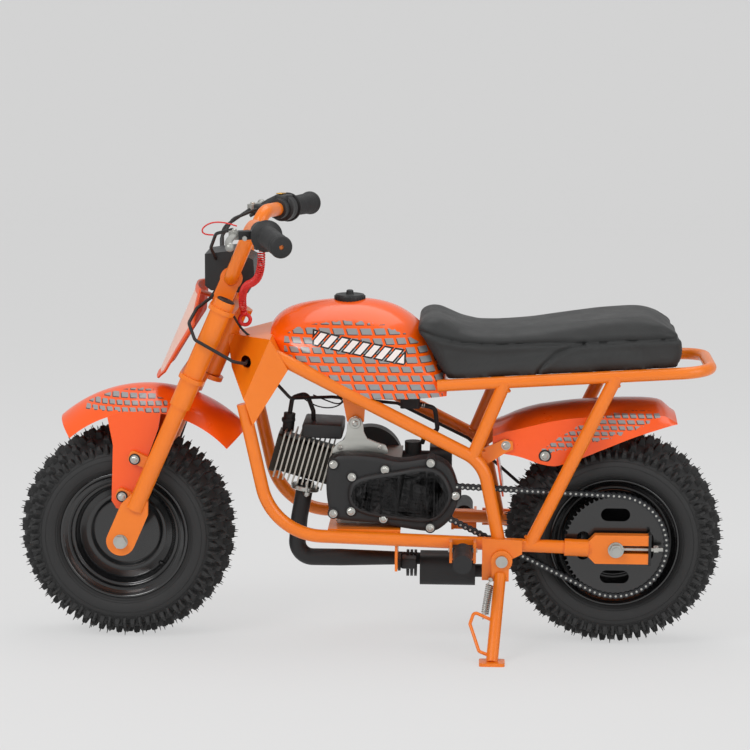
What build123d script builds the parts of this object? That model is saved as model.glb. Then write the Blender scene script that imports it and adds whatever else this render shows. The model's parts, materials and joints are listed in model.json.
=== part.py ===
from build123d import *
import os
from math import atan2, cos, degrees, hypot, pi, radians, sin, sqrt, tan

os.makedirs("parts", exist_ok=True)

# Small trail minibike with a tube frame. It is modelled upright and then leaned on its stand.
# While upright, x runs rearwards, y to the rider's right and z up, in millimetres,
# from the ground point midway between the axles.

# Stance
wheelbase = 750.0
lean_angle = 4.0
rake_angle = 23.55
fork_offset = 19.0

# Wheels
tyre_radius = 165.0
tyre_width = 125.0
tread_crown = 85.0
lug_height = 8.0
lug_foot = 2.0
lug_count = 22
sidewall_radius = 114.0
rim_seat_radius = 78.0
rim_flange_radius = 95.0
rim_width = 106.0
rim_wall = 4.0
disc_offset = 17.0
dish_radius = 54.0
hub_radius = 17.0
hub_half = 66.0
axle_radius = 6.0
axle_clearance = 0.1
spacer_radius = 9.5
brake_disc_radius = 60.0
brake_disc_line = 63.0
brake_disc_thickness = 4.0

# Frame tubes
tube_radius = 10.0
rail_radius = 9.0
frame_half_width = 91.0
cradle_bend = 95.0
backbone_bend = 60.0
rail_corner = 45.0
seat_rail_front = (104.0, 411.0)
seat_rail_rear = (514.0, 437.0)
seat_cross_places = (160.0, 330.0)
cradle_top = (-187.5, 380.0)
cradle_corner = (-143.0, 180.0)
cradle_rear = (338.0, 165.0)
backbone_front = (-150.0, 459.0)
backbone_corner = (174.0, 295.0)
backbone_foot = (199.4, 172.0)

# Dropouts
sleeve_start = 298.0
sleeve_radius = 13.0
dropout_front = 334.0
dropout_rear = 424.0
dropout_height = 44.0
dropout_width = 16.0
dropout_chamfer = 10.0
slot_clearance = 0.3

# Head and fork
head_radius = 16.0
head_low = 279.0
head_high = 384.0
stem_radius = 9.0
stem_clearance = 0.1
gusset_wall = 3.0
gusset_seat = 0.6
cable_hole_radius = 8.5
cable_hole = (-184.5, 441.0)
leg_spacing = 88.0
upper_leg_radius = 16.0
lower_leg_radius = 13.0
upper_leg_low = 228.0
leg_top = 404.0
fork_end_width = 44.0
fork_end_thickness = 9.0
fork_end_top = 66.0
tab_thickness = 7.0
fender_bolts = ((-30.0, 125.0), (-25.0, 64.0))
yoke_thickness = 7.0
yoke_gap = 1.0

# Handlebar
bar_radius = 11.0
bar_bend = 24.0
bar_centre_up = 432.0
bar_back = -7.0
bar_centre_half = 62.0
bar_shoulder_up = 526.0
bar_shoulder_half = 98.0
bar_half_width = 303.0
bar_sweep = 58.0
bar_drop = 7.0
grip_length = 112.0
grip_radius = 15.5
grip_flange_radius = 24.0
grip_end_wall = 3.0
bar_end_bore = 3.5
bar_end_bore_depth = 20.0

# Drive line
chain_pitch = 8.0
chain_width = 10.0
chain_depth = 7.0
chain_gap = 2.0
root_depth = 3.0
tip_height = 1.8
wheel_teeth = 61
drive_teeth = 13
chain_line = 72.0
sprocket_thickness = 4.0
output_shaft = (90.0, 239.0)
crank_shaft = (-3.0, 245.0)

# Engine
engine_floor = 188.0
bed_front = -60.0
bed_rear = 50.0
bed_plate = 4.0
case_half = 45.0
cover_face = 87.0
cylinder_tilt = 15.6
pipe_radius = 13.0
pipe_bend = 24.0
tail_radius = 9.0
silencer_front = 79.0
silencer_length = 85.0
strip_place = 44.0

# Fuel tank, seat and fenders
tank_half = 96.0
seat_half = 92.0
fender_wall = 3.0
front_fender_half = 71.0
rear_fender_half = 72.0

# Stand and pegs
stand_pivot = (203.5, 148.0)
stand_foot = (190.0, -205.0)
stand_tube_radius = 9.0
tang_radius = 2.5
bracket_thickness = 6.0
lug_thickness = 6.0
lug_radius = 16.0
peg_place = (145.0, 165.0)
peg_radius = 14.0
peg_length = 92.0

# Derived places
rake = radians(rake_angle)
lean = radians(lean_angle)
front_axle = (-wheelbase / 2, tyre_radius)
rear_axle = (wheelbase / 2, tyre_radius)
wheel_pitch_radius = chain_pitch / 2 / sin(pi / wheel_teeth)
drive_pitch_radius = chain_pitch / 2 / sin(pi / drive_teeth)
side_face = frame_half_width + tube_radius
gusset_half = side_face + gusset_wall - gusset_seat
bracket_face = side_face + bracket_thickness


def fork_point(back, up, side=0.0):
    """Point measured from the front axle: back square to the legs, up along them."""
    x = front_axle[0] + back * cos(rake) + up * sin(rake)
    z = front_axle[1] - back * sin(rake) + up * cos(rake)
    return Vector(x, side, z)


def fork_plane(back, up, side=0.0):
    """Plane square to the fork legs: local x is rearwards, local y is to the right."""
    return Plane(
        origin=fork_point(back, up, side), x_dir=(cos(rake), 0, -sin(rake)), z_dir=(sin(rake), 0, cos(rake))
    )


def side_plane(y, x=0.0, z=0.0):
    """Sketch plane seen from the bike's left: local x rearwards, local y up, normal to the left."""
    return Plane(origin=(x, y, z), x_dir=(1, 0, 0), z_dir=(0, -1, 0))


def wheel_plane(axle):
    """Plane through a wheel's axle: local x is to the left, local y is up."""
    return Plane(origin=(axle[0], 0, axle[1]), x_dir=(0, -1, 0), z_dir=(-1, 0, 0))


def line_height(start, end, x):
    """Height at x of the straight line through two side-view points."""
    return start[1] + (end[1] - start[1]) / (end[0] - start[0]) * (x - start[0])


def rail_height(x):
    """Height of the seat rail's centre line at x."""
    return line_height(seat_rail_front, seat_rail_rear, x)


def cradle_height(x):
    """Height of the lower cradle tube's centre line at x."""
    return line_height(cradle_corner, cradle_rear, x)


bar_end = fork_point(bar_back, bar_shoulder_up) + Vector(bar_sweep, 0, -bar_drop)
parked = Pos(0, bar_end.Z * sin(lean), tread_crown * (1 - cos(lean))) * Rot(lean_angle, 0, 0)
ground_level = -tread_crown * (1 - cos(lean)) / cos(lean)


def bar_frame(side, distance):
    """Plane square to the bar at a distance inboard from its end, normal towards the middle."""
    tip = bar_end + Vector(0, side * bar_half_width, 0)
    along = (fork_point(bar_back, bar_shoulder_up, side * bar_shoulder_half) - tip).normalized()
    return Plane(origin=tip + along * distance, x_dir=(0, 0, 1), z_dir=along)


def ground_height(y):
    """Height of the leaned floor in the upright frame, y to the right of the wheels' plane."""
    return ground_level - y * tan(lean)


def keep(piece, name):
    """Lean a finished piece with the bike, label it and write it."""
    piece.part.label = name
    leaned = parked * piece.part
    leaned.label = name
    export_step(leaned, f"parts/{name}.step")


def round_tube(points, radius, bend=0.0):
    """Round tube along straight runs joined by arcs of one radius."""
    with BuildPart() as run:
        with BuildLine() as route:
            if bend:
                FilletPolyline(*points, radius=bend)
            else:
                Polyline(*points)
        with BuildSketch(Plane(origin=route.line @ 0, z_dir=route.line % 0)):
            Circle(radius)
        sweep()
    return run.part


# Knobby tyres: a round carcass with a centre row, two middle rows and two shoulder rows of lugs
half = tyre_width / 2
crown_centre = tyre_radius - tread_crown
carcass_crown = tread_crown - lug_height
bead = rim_width / 2 - rim_wall - 1
bead_top = rim_flange_radius + 1
bead_low = rim_seat_radius + rim_wall
lug_rows = (  # inner edge, outer edge, length along the tread in degrees, shift in pitches
    (-9.0, 9.0, 8.5, 0.0),
    (13.0, 31.0, 7.5, 0.5),
    (-31.0, -13.0, 7.5, 0.5),
    (36.0, half, 9.0, 0.0),
    (-half, -36.0, 9.0, 0.0),
)


def crown_height(across, crown):
    """Radius from the axle of a tread arc at a place across the tyre."""
    return crown_centre + sqrt(crown**2 - across**2)


def lug_block(axle, low, high, span):
    """One lug: its outer face on the tread arc, its foot inside the carcass."""
    middle = (low + high) / 2
    foot = carcass_crown - lug_foot
    with BuildPart() as block:
        with BuildSketch(wheel_plane(axle)):
            with BuildLine():
                ThreePointArc(
                    (low, crown_height(low, tread_crown)),
                    (middle, crown_height(middle, tread_crown)),
                    (high, crown_height(high, tread_crown)),
                )
                Polyline(
                    (high, crown_height(high, tread_crown)),
                    (high * foot / carcass_crown, crown_height(high, foot)),
                    (low * foot / carcass_crown, crown_height(low, foot)),
                    (low, crown_height(low, tread_crown)),
                )
            make_face()
        revolve(axis=Axis((axle[0], 0, axle[1]), (0, 1, 0)), revolution_arc=span)
    return block.part


for axle, name in ((front_axle, "front_tyre"), (rear_axle, "rear_tyre")):
    with BuildPart() as tyre:
        wall = half - lug_height / 2
        shoulder = crown_height(wall, carcass_crown)
        with BuildSketch(wheel_plane(axle)):
            with BuildLine():
                ThreePointArc((-wall, shoulder), (0, tyre_radius - lug_height), (wall, shoulder))
                ThreePointArc((wall, shoulder), (half - 1, sidewall_radius), (bead, bead_top))
                Polyline((bead, bead_top), (bead, bead_low), (-bead, bead_low), (-bead, bead_top))
                ThreePointArc((-bead, bead_top), (1 - half, sidewall_radius), (-wall, shoulder))
            make_face()
        revolve(axis=Axis((axle[0], 0, axle[1]), (0, 1, 0)))
        spin = Axis((axle[0], 0, axle[1]), (0, 1, 0))
        lugs = []
        for low, high, span, shift in lug_rows:
            block = lug_block(axle, low, high, span)
            lugs += [block.rotate(spin, (index + shift) * 360 / lug_count) for index in range(lug_count)]
        add(lugs)
    keep(tyre, name)

# Pressed steel rims with a dished centre disc and a through hub
edge = rim_width / 2
for axle, name in ((front_axle, "front_rim"), (rear_axle, "rear_rim")):
    with BuildPart() as rim:
        with BuildSketch(wheel_plane(axle)):
            with BuildLine():
                Polyline(
                    (edge, rim_flange_radius),
                    (edge, rim_seat_radius),
                    (disc_offset + 12, rim_seat_radius - 4),
                    (disc_offset, dish_radius),
                    (disc_offset, hub_radius - 1),
                    (disc_offset - rim_wall, hub_radius - 1),
                    (disc_offset - rim_wall, dish_radius + 2),
                    (disc_offset + 6, rim_seat_radius - 2),
                    (-edge, rim_seat_radius - 2),
                    (-edge, rim_flange_radius),
                    (rim_wall - edge, rim_flange_radius),
                    (rim_wall - edge, rim_seat_radius + rim_wall),
                    (edge - rim_wall, rim_seat_radius + rim_wall),
                    (edge - rim_wall, rim_flange_radius),
                    close=True,
                )
            make_face()
        revolve(axis=Axis((axle[0], 0, axle[1]), (0, 1, 0)))
        with BuildSketch(side_plane(hub_half, axle[0], axle[1])):
            Circle(hub_radius)
        extrude(amount=2 * hub_half)
        with BuildSketch(side_plane(hub_half, axle[0], axle[1])):
            Circle(axle_radius + axle_clearance)
        extrude(amount=2 * hub_half, mode=Mode.SUBTRACT)
    keep(rim, name)

# Brake discs on the right, bolted to the hubs
for axle, name in ((front_axle, "front_brake_disc"), (rear_axle, "rear_brake_disc")):
    with BuildPart() as brake_disc:
        with BuildSketch(side_plane(brake_disc_line + brake_disc_thickness / 2, axle[0], axle[1])):
            Circle(brake_disc_radius)
            Circle(hub_radius, mode=Mode.SUBTRACT)
            with PolarLocations(brake_disc_radius * 0.66, 6):
                SlotOverall(18, 9, mode=Mode.SUBTRACT)
        extrude(amount=brake_disc_thickness)
    keep(brake_disc, name)



def sprocket_outline(teeth, pitch_radius):
    """Points round a sprocket's teeth, two at each root and one at each tip."""
    points = []
    for index in range(teeth):
        for share, radius in ((-0.25, root_depth), (0.25, root_depth), (0.5, -tip_height)):
            angle = 2 * pi * (index + share) / teeth
            points.append(((pitch_radius - radius) * cos(angle), (pitch_radius - radius) * sin(angle)))
    return points


# Rear wheel sprocket with four kidney windows, on a carrier from the hub
with BuildPart() as wheel_sprocket:
    with BuildSketch(side_plane(-chain_line + sprocket_thickness / 2, *rear_axle)):
        Polygon(*sprocket_outline(wheel_teeth, wheel_pitch_radius), align=None)
        Circle(hub_radius, mode=Mode.SUBTRACT)
        with PolarLocations(wheel_pitch_radius * 0.62, 4, start_angle=90):
            with Locations(Rot(0, 0, 90)):
                SlotOverall(44, 20, mode=Mode.SUBTRACT)
    extrude(amount=sprocket_thickness)
    with BuildSketch(side_plane(-hub_half, *rear_axle)):
        Circle(hub_radius + 12)
        Circle(spacer_radius + 1.5, mode=Mode.SUBTRACT)
    extrude(amount=chain_line - sprocket_thickness / 2 - hub_half + 0.5)
keep(wheel_sprocket, "wheel_sprocket")

# Frame: cradle tubes run from the head down, under the engine and back to the dropouts
cradles = {}
backbones = {}
for side in (-1, 1):
    y = side * frame_half_width
    with BuildPart() as cradles[side]:
        route = [(x, y, z) for x, z in (cradle_top, cradle_corner, cradle_rear)]
        add(round_tube(route, tube_radius, cradle_bend))
    with BuildPart() as backbones[side]:
        add(round_tube(
            [(x, y, z) for x, z in (backbone_front, backbone_corner, backbone_foot)],
            tube_radius,
            backbone_bend,
        ))
        add(cradles[side].part, mode=Mode.SUBTRACT)
with BuildPart() as cradle_tubes:
    add(cradles[-1].part)
    add(cradles[1].part)
keep(cradle_tubes, "cradle_tubes")
with BuildPart() as backbone_tubes:
    add(backbones[-1].part)
    add(backbones[1].part)
keep(backbone_tubes, "backbone_tubes")

# Seat rail: one tube from the tank, round the tail and back, with cross tubes under the seat
with BuildPart() as seat_rail:
    add(round_tube(
        [
            (seat_rail_front[0], -frame_half_width, seat_rail_front[1]),
            (seat_rail_rear[0], -frame_half_width, seat_rail_rear[1]),
            (seat_rail_rear[0], frame_half_width, seat_rail_rear[1]),
            (seat_rail_front[0], frame_half_width, seat_rail_front[1]),
        ],
        rail_radius,
        rail_corner,
    ))
    for x in seat_cross_places:
        add(round_tube(
            [(x, -frame_half_width, rail_height(x)), (x, frame_half_width, rail_height(x))],
            rail_radius - 1,
        ))
keep(seat_rail, "seat_rail")

# Struts from the rail down to the backbones and the cradle tubes
strut_table = (  # upper x, upper z, lower x, lower z
    (205.0, rail_height(205.0), 158.0, line_height(backbone_front, backbone_corner, 158.0)),
    (371.0, rail_height(371.0), 245.0, cradle_height(245.0)),
)
with BuildPart() as seat_struts:
    for side in (-1, 1):
        y = side * frame_half_width
        for top_x, top_z, low_x, low_z in strut_table:
            add(round_tube([(low_x, y, low_z), (top_x, y, top_z)], tube_radius))
        add(cradles[side].part, mode=Mode.SUBTRACT)
        add(backbones[side].part, mode=Mode.SUBTRACT)
    add(seat_rail.part, mode=Mode.SUBTRACT)
keep(seat_struts, "seat_struts")

# Dropouts: a sleeve over each cradle tube's end and a flattened end with the axle slot
slot_half = axle_radius + slot_clearance
with BuildPart() as dropouts:
    for side in (-1, 1):
        y = side * frame_half_width
        add(round_tube(
            [(x, y, cradle_height(x)) for x in (sleeve_start, dropout_front)],
            sleeve_radius,
        ))
        with BuildSketch(side_plane(y + dropout_width / 2)):
            with Locations(((dropout_front + dropout_rear) / 2, tyre_radius)):
                Rectangle(dropout_rear - dropout_front, dropout_height)
            chamfer(vertices().group_by(Axis.X)[0], dropout_chamfer)
            with Locations(((rear_axle[0] + dropout_rear) / 2, tyre_radius)):
                Rectangle(dropout_rear - rear_axle[0], 2 * slot_half, mode=Mode.SUBTRACT)
            with Locations(rear_axle):
                Circle(slot_half, mode=Mode.SUBTRACT)
        extrude(amount=dropout_width)
        add(cradles[side].part, mode=Mode.SUBTRACT)
keep(dropouts, "dropouts")

# Head: the steering tube with a folded box that spreads to the tubes on both sides
gusset_side = (  # x and z round the side plate
    (-219.0, 473.0),
    (-146.0, 480.0),
    (-119.0, 434.0),
    (-172.0, 349.0),
    (-184.0, 385.0),
    (-209.0, 428.0),
)
gusset_plan = (  # distance behind the fork legs and half width, looking down the head tube
    (12.0, head_radius - 4),
    (30.0, head_radius + 2),
    (84.0, gusset_half),
    (200.0, gusset_half),
)


def gusset_solid(inset):
    """The gusset's outer form, drawn in on every side by an inset."""
    with BuildPart() as body:
        with BuildSketch(side_plane(gusset_half)):
            Polygon(*gusset_side, align=None)
            if inset:
                offset(amount=-inset, kind=Kind.INTERSECTION)
        extrude(amount=2 * gusset_half)
        with BuildSketch(fork_plane(0, 100)):
            Polygon(*gusset_plan, *[(x, -y) for x, y in reversed(gusset_plan)], align=None)
            if inset:
                offset(amount=-inset, kind=Kind.INTERSECTION)
        extrude(amount=400, mode=Mode.INTERSECT)
    return body.part


gusset_form = gusset_solid(0)
with BuildPart() as head_gusset:
    add(gusset_form)
    add(gusset_solid(gusset_wall), mode=Mode.SUBTRACT)
    with BuildSketch(side_plane(gusset_half + 1)):
        with Locations(cable_hole):
            Circle(cable_hole_radius)
    extrude(amount=2 * gusset_half + 2, mode=Mode.SUBTRACT)
    with BuildSketch(fork_plane(fork_offset, head_low)):
        Circle(head_radius)
    extrude(amount=head_high - head_low)
    with BuildSketch(fork_plane(fork_offset, head_low - 1)):
        Circle(stem_radius + stem_clearance)
    extrude(amount=head_high - head_low + 2, mode=Mode.SUBTRACT)
    for side in (-1, 1):
        add(cradles[side].part, mode=Mode.SUBTRACT)
        add(backbones[side].part, mode=Mode.SUBTRACT)
keep(head_gusset, "head_gusset")

# Engine bed: a folded channel across the cradle tubes, with a hanger strip for the silencer
with BuildPart() as engine_bed:
    bed_half = frame_half_width - tube_radius / 2
    bed_middle = (bed_front + bed_rear) / 2
    bed_low = cradle_height(bed_middle)
    with BuildSketch(Plane(origin=(bed_front, 0, 0), x_dir=(0, 1, 0), z_dir=(1, 0, 0))):
        with Locations((0, (bed_low + engine_floor) / 2)):
            Rectangle(2 * bed_half, engine_floor - bed_low)
        with Locations((0, (bed_low + engine_floor) / 2 - bed_plate)):
            Rectangle(2 * (bed_half - bed_plate), engine_floor - bed_low, mode=Mode.SUBTRACT)
    extrude(amount=bed_rear - bed_front)
    with BuildSketch(side_plane(1 - frame_half_width, strip_place)):
        with Locations((0, engine_floor - 2 - 31)):
            Rectangle(4, 62)
    extrude(amount=-50)
    for side in (-1, 1):
        add(cradles[side].part, mode=Mode.SUBTRACT)
keep(engine_bed, "engine_bed")

# Side plates that carry the stand and the foot pegs
with BuildPart() as foot_brackets:
    for side in (-1, 1):
        inner = side_face if side > 0 else -side_face
        outline = [(174, 181), (234, 179), (234, 158), (219, 150), (219, 140), (203, 132), (189, 132)]
        outline += [(189, 117), (174, 117)]
        with BuildSketch(side_plane(inner)):
            if side > 0:
                outline = [(174, 181), (234, 179), (234, 154), (174, 154)]
            Polygon(*outline, align=None)
        extrude(amount=bracket_thickness if side < 0 else -bracket_thickness)
        for x in (peg_place[0] - 20, peg_place[0] + 16):
            with BuildSketch(Plane(origin=(x, 0, 0), x_dir=(0, 1, 0), z_dir=(1, 0, 0))):
                with Locations((side * (side_face + 9), peg_place[1] - 2)):
                    Rectangle(28, 32)
                with Locations((side * (side_face + 14), peg_place[1])):
                    Circle(3.6, mode=Mode.SUBTRACT)
            extrude(amount=4)
        with BuildSketch(side_plane(side * side_face if side < 0 else side_face)):
            with Locations((peg_place[0], peg_place[1] - 2)):
                Rectangle(40, 32)
        extrude(amount=4 if side < 0 else -4)
    for side in (-1, 1):
        add(cradles[side].part, mode=Mode.SUBTRACT)
keep(foot_brackets, "foot_brackets")

# Side stand: a lug on the pivot bolt, a round leg and a foot plate that lies flat on the floor
foot_x, foot_y = stand_foot
foot_z = ground_height(foot_y)
floor_plane = Plane(
    origin=(foot_x, foot_y, foot_z), x_dir=(1, 0, 0), z_dir=(0, sin(lean), cos(lean))
)
lug_face = bracket_face + 0.4
with BuildPart() as side_stand:
    with BuildSketch(side_plane(-lug_face, *stand_pivot)):
        Circle(lug_radius)
        with Locations((-2, -16)):
            Rectangle(26, 30)
        Circle(5.1, mode=Mode.SUBTRACT)
    extrude(amount=lug_thickness)
    leg_top_point = Vector(stand_pivot[0] - 2, -lug_face - lug_thickness + 2, stand_pivot[1] - 22)
    leg_foot_point = Vector(foot_x, foot_y, foot_z + 2)
    add(round_tube([leg_top_point, leg_foot_point], stand_tube_radius))
    with BuildSketch(floor_plane):
        RectangleRounded(38, 36, 5)
    extrude(amount=5)
    tang = [(190, 69), (163, 79), (157, 64), (171, 30), (190, 24)]
    splay = (foot_y - leg_top_point.Y) / (leg_top_point.Z - foot_z)
    route = [(x, leg_top_point.Y + (leg_top_point.Z - z) * splay, z) for x, z in tang]
    add(round_tube(route, tang_radius, 5))
    with BuildSketch(floor_plane.offset(-20)):
        Rectangle(60, 60)
    extrude(amount=20, mode=Mode.SUBTRACT)
keep(side_stand, "side_stand")

# Stand bolt through the bracket, the lug's pivot
with BuildPart() as stand_bolt:
    with BuildSketch(side_plane(-lug_face - lug_thickness - 0.4, *stand_pivot)):
        Circle(9)
    extrude(amount=5)
    with BuildSketch(side_plane(-bracket_face, *stand_pivot)):
        Circle(5)
    extrude(amount=lug_face + lug_thickness + 0.4 - bracket_face)
keep(stand_bolt, "stand_bolt")

# Foot pegs: a round rubber-covered bar hinged in each bracket
for side, name in ((-1, "left_peg"), (1, "right_peg")):
    start = side_face + 14
    with BuildPart() as peg:
        with BuildSketch(Plane(origin=(peg_place[0] - 15, 0, 0), x_dir=(0, 1, 0), z_dir=(1, 0, 0))):
            with Locations((side * start, peg_place[1])):
                Circle(8)
            with Locations((side * (start + 10), peg_place[1])):
                Rectangle(20, 16)
            with Locations((side * start, peg_place[1])):
                Circle(3.7, mode=Mode.SUBTRACT)
        extrude(amount=30)
        peg_start = side * (start + 14)
        with BuildSketch(Plane(origin=(peg_place[0], peg_start, peg_place[1]), z_dir=(0, side, 0))):
            Circle(peg_radius)
        extrude(amount=peg_length - 14)
    keep(peg, name)

# Peg hinge pins, fixed in the brackets
with BuildPart() as peg_pins:
    for side in (-1, 1):
        place = (peg_place[0] - 22, side * (side_face + 14), peg_place[1])
        with BuildSketch(Plane(origin=place, z_dir=(1, 0, 0))):
            Circle(3.5)
        extrude(amount=44)
keep(peg_pins, "peg_pins")

# Fork legs: a thick upper tube, a thinner lower tube and a flattened end with the axle hole
with BuildPart() as fork_legs:
    for side in (-1, 1):
        y = side * leg_spacing
        with BuildSketch(fork_plane(0, upper_leg_low, y)):
            Circle(upper_leg_radius)
        extrude(amount=leg_top - upper_leg_low)
        with BuildSketch(fork_plane(0, fork_end_top - 12, y)):
            Circle(lower_leg_radius)
        extrude(amount=upper_leg_low - fork_end_top + 20)
        end_plane = Plane(
            origin=fork_point(0, 0, y + fork_end_thickness / 2),
            x_dir=(cos(rake), 0, -sin(rake)),
            z_dir=(0, -1, 0),
        )
        with BuildSketch(end_plane):
            Circle(fork_end_width / 2)
            with Locations((0, (fork_end_top - 12) / 2)):
                Rectangle(fork_end_width, fork_end_top - 12)
            with Locations((0, fork_end_top - 2)):
                Trapezoid(fork_end_width, 20, 68)
            Circle(axle_radius + 0.05, mode=Mode.SUBTRACT)
        extrude(amount=fork_end_thickness)
        tab_plane = Plane(
            origin=fork_point(0, 0, side * front_fender_half + (tab_thickness if side > 0 else 0)),
            x_dir=(cos(rake), 0, -sin(rake)),
            z_dir=(0, -1, 0),
        )
        for tab_back, tab_up in fender_bolts:
            with BuildSketch(tab_plane):
                with Locations(((tab_back - 10) / 2, tab_up)):
                    RectangleRounded(12 - tab_back, 18, 6)
            extrude(amount=tab_thickness)
keep(fork_legs, "fork_legs")

# Yokes: two plates that clamp the legs, joined by the stem that turns in the head tube
with BuildPart() as fork_yokes:
    for up in (head_low - yoke_gap - yoke_thickness, head_high + yoke_gap):
        with BuildSketch(fork_plane(0, up)):
            with Locations((0, leg_spacing), (0, -leg_spacing)):
                Circle(upper_leg_radius + 4)
            Rectangle(2 * (upper_leg_radius + 4), 2 * leg_spacing)
            with Locations((fork_offset, 0)):
                Circle(head_radius + 6)
        extrude(amount=yoke_thickness)
    with BuildSketch(fork_plane(fork_offset, head_low - yoke_gap - 1)):
        Circle(stem_radius)
    extrude(amount=head_high - head_low + 2 * yoke_gap + 2)
    for y in (-34, 34):
        clamp_low = head_high + yoke_gap + yoke_thickness - 1
        clamp = Plane(origin=fork_point(0, 0, y - 12), x_dir=(cos(rake), 0, -sin(rake)), z_dir=(0, 1, 0))
        with BuildSketch(clamp):
            with Locations((bar_back, -(clamp_low + bar_centre_up) / 2)):
                Rectangle(30, bar_centre_up - clamp_low)
            with Locations((bar_back, -bar_centre_up)):
                Circle(bar_radius + 6)
        extrude(amount=24)
    add(fork_legs.part, mode=Mode.SUBTRACT)

# Handlebar: one tube, up from the clamps, out and back to the grips
with BuildPart() as handlebar:
    add(round_tube(
        [
            bar_end + Vector(0, -bar_half_width, 0),
            fork_point(bar_back, bar_shoulder_up, -bar_shoulder_half),
            fork_point(bar_back, bar_centre_up, -bar_centre_half),
            fork_point(bar_back, bar_centre_up, bar_centre_half),
            fork_point(bar_back, bar_shoulder_up, bar_shoulder_half),
            bar_end + Vector(0, bar_half_width, 0),
        ],
        bar_radius,
        bar_bend,
    ))
    for side in (-1, 1):
        with BuildSketch(bar_frame(side, 0)):
            Circle(bar_end_bore)
        extrude(amount=bar_end_bore_depth - grip_end_wall, mode=Mode.SUBTRACT)
keep(handlebar, "handlebar")
with BuildPart() as clamped_yokes:
    add(fork_yokes.part)
    add(handlebar.part, mode=Mode.SUBTRACT)
keep(clamped_yokes, "fork_yokes")

# Grips on the ends of the bar, each with a flange inboard and a small hole in its end
with BuildPart() as grips:
    for side in (-1, 1):
        bar_tip = bar_end + Vector(0, side * bar_half_width, 0)
        shoulder_point = fork_point(bar_back, bar_shoulder_up, side * bar_shoulder_half)
        along = (shoulder_point - bar_tip).normalized()
        tip = bar_tip - along * grip_end_wall
        with BuildSketch(Plane(origin=tip, z_dir=along)):
            Circle(grip_radius)
        extrude(amount=grip_length)
        with BuildSketch(Plane(origin=tip + along * (grip_length - 4), z_dir=along)):
            Circle(grip_flange_radius)
        extrude(amount=5)
        with BuildSketch(Plane(origin=bar_tip, z_dir=along)):
            Circle(bar_radius)
        extrude(amount=grip_length, mode=Mode.SUBTRACT)
        with BuildSketch(Plane(origin=tip - along, z_dir=along)):
            Circle(bar_end_bore)
        extrude(amount=8, mode=Mode.SUBTRACT)
keep(grips, "grips")

# Front axle, clamped between the fork ends
with BuildPart() as front_axle_bolt:
    axle_half = leg_spacing + fork_end_thickness / 2
    with BuildSketch(side_plane(axle_half + 10, *front_axle)):
        Circle(axle_radius)
    extrude(amount=2 * (axle_half + 10) - 6)
    with BuildSketch(side_plane(-axle_half, *front_axle)):
        Circle(11)
    extrude(amount=2)
    with BuildSketch(side_plane(-axle_half - 2, *front_axle)):
        RegularPolygon(10, 6)
    extrude(amount=7)
    with BuildSketch(side_plane(axle_half + 8, *front_axle)):
        RegularPolygon(10, 6)
    extrude(amount=8)
    with BuildSketch(side_plane(leg_spacing - fork_end_thickness / 2, *front_axle)):
        Circle(spacer_radius)
        Circle(axle_radius, mode=Mode.SUBTRACT)
    extrude(amount=leg_spacing - fork_end_thickness / 2 - hub_half - 0.5)
    with BuildSketch(side_plane(-hub_half - 0.5, *front_axle)):
        Circle(spacer_radius)
        Circle(axle_radius, mode=Mode.SUBTRACT)
    extrude(amount=leg_spacing - fork_end_thickness / 2 - hub_half - 0.5)
keep(front_axle_bolt, "front_axle")

# Rear axle with its spacers, nuts and the eye bolts that tension the chain
stay_inner = frame_half_width - dropout_width / 2
stay_outer = frame_half_width + dropout_width / 2
with BuildPart() as rear_axle_bolt:
    with BuildSketch(side_plane(stay_outer + 24, *rear_axle)):
        Circle(axle_radius)
    extrude(amount=2 * stay_outer + 38)
    for side in (-1, 1):
        outer = side * stay_outer
        with BuildSketch(side_plane(outer if side < 0 else outer + 3, *rear_axle)):
            Circle(12)
        extrude(amount=3)
        with BuildSketch(side_plane(outer - 3 if side < 0 else outer + 11, *rear_axle)):
            RegularPolygon(10, 6)
        extrude(amount=8)
        eye_x = dropout_rear + 2
        rod = Plane(origin=(rear_axle[0] + 4, side * (stay_outer - 5), rear_axle[1]), z_dir=(1, 0, 0))
        with BuildSketch(rod):
            Circle(3)
        extrude(amount=dropout_rear - rear_axle[0] + 18)
        with BuildSketch(rod.offset(dropout_rear - rear_axle[0] + 4)):
            RegularPolygon(6, 6)
        extrude(amount=7)
        reach = stay_inner - hub_half - 0.5
        with BuildSketch(side_plane(side * (hub_half + 0.5) + (reach if side > 0 else 0), *rear_axle)):
            Circle(spacer_radius)
        extrude(amount=reach)
keep(rear_axle_bolt, "rear_axle")

# Black end caps that the tension rods pull against
with BuildPart() as adjuster_caps:
    for side in (-1, 1):
        with BuildSketch(side_plane(side * frame_half_width + dropout_width / 2 + 1)):
            with Locations((dropout_rear + 2, tyre_radius)):
                Rectangle(4, dropout_height + 4)
        extrude(amount=dropout_width + 2)
    add(rear_axle_bolt.part, mode=Mode.SUBTRACT)
keep(adjuster_caps, "adjuster_caps")

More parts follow.
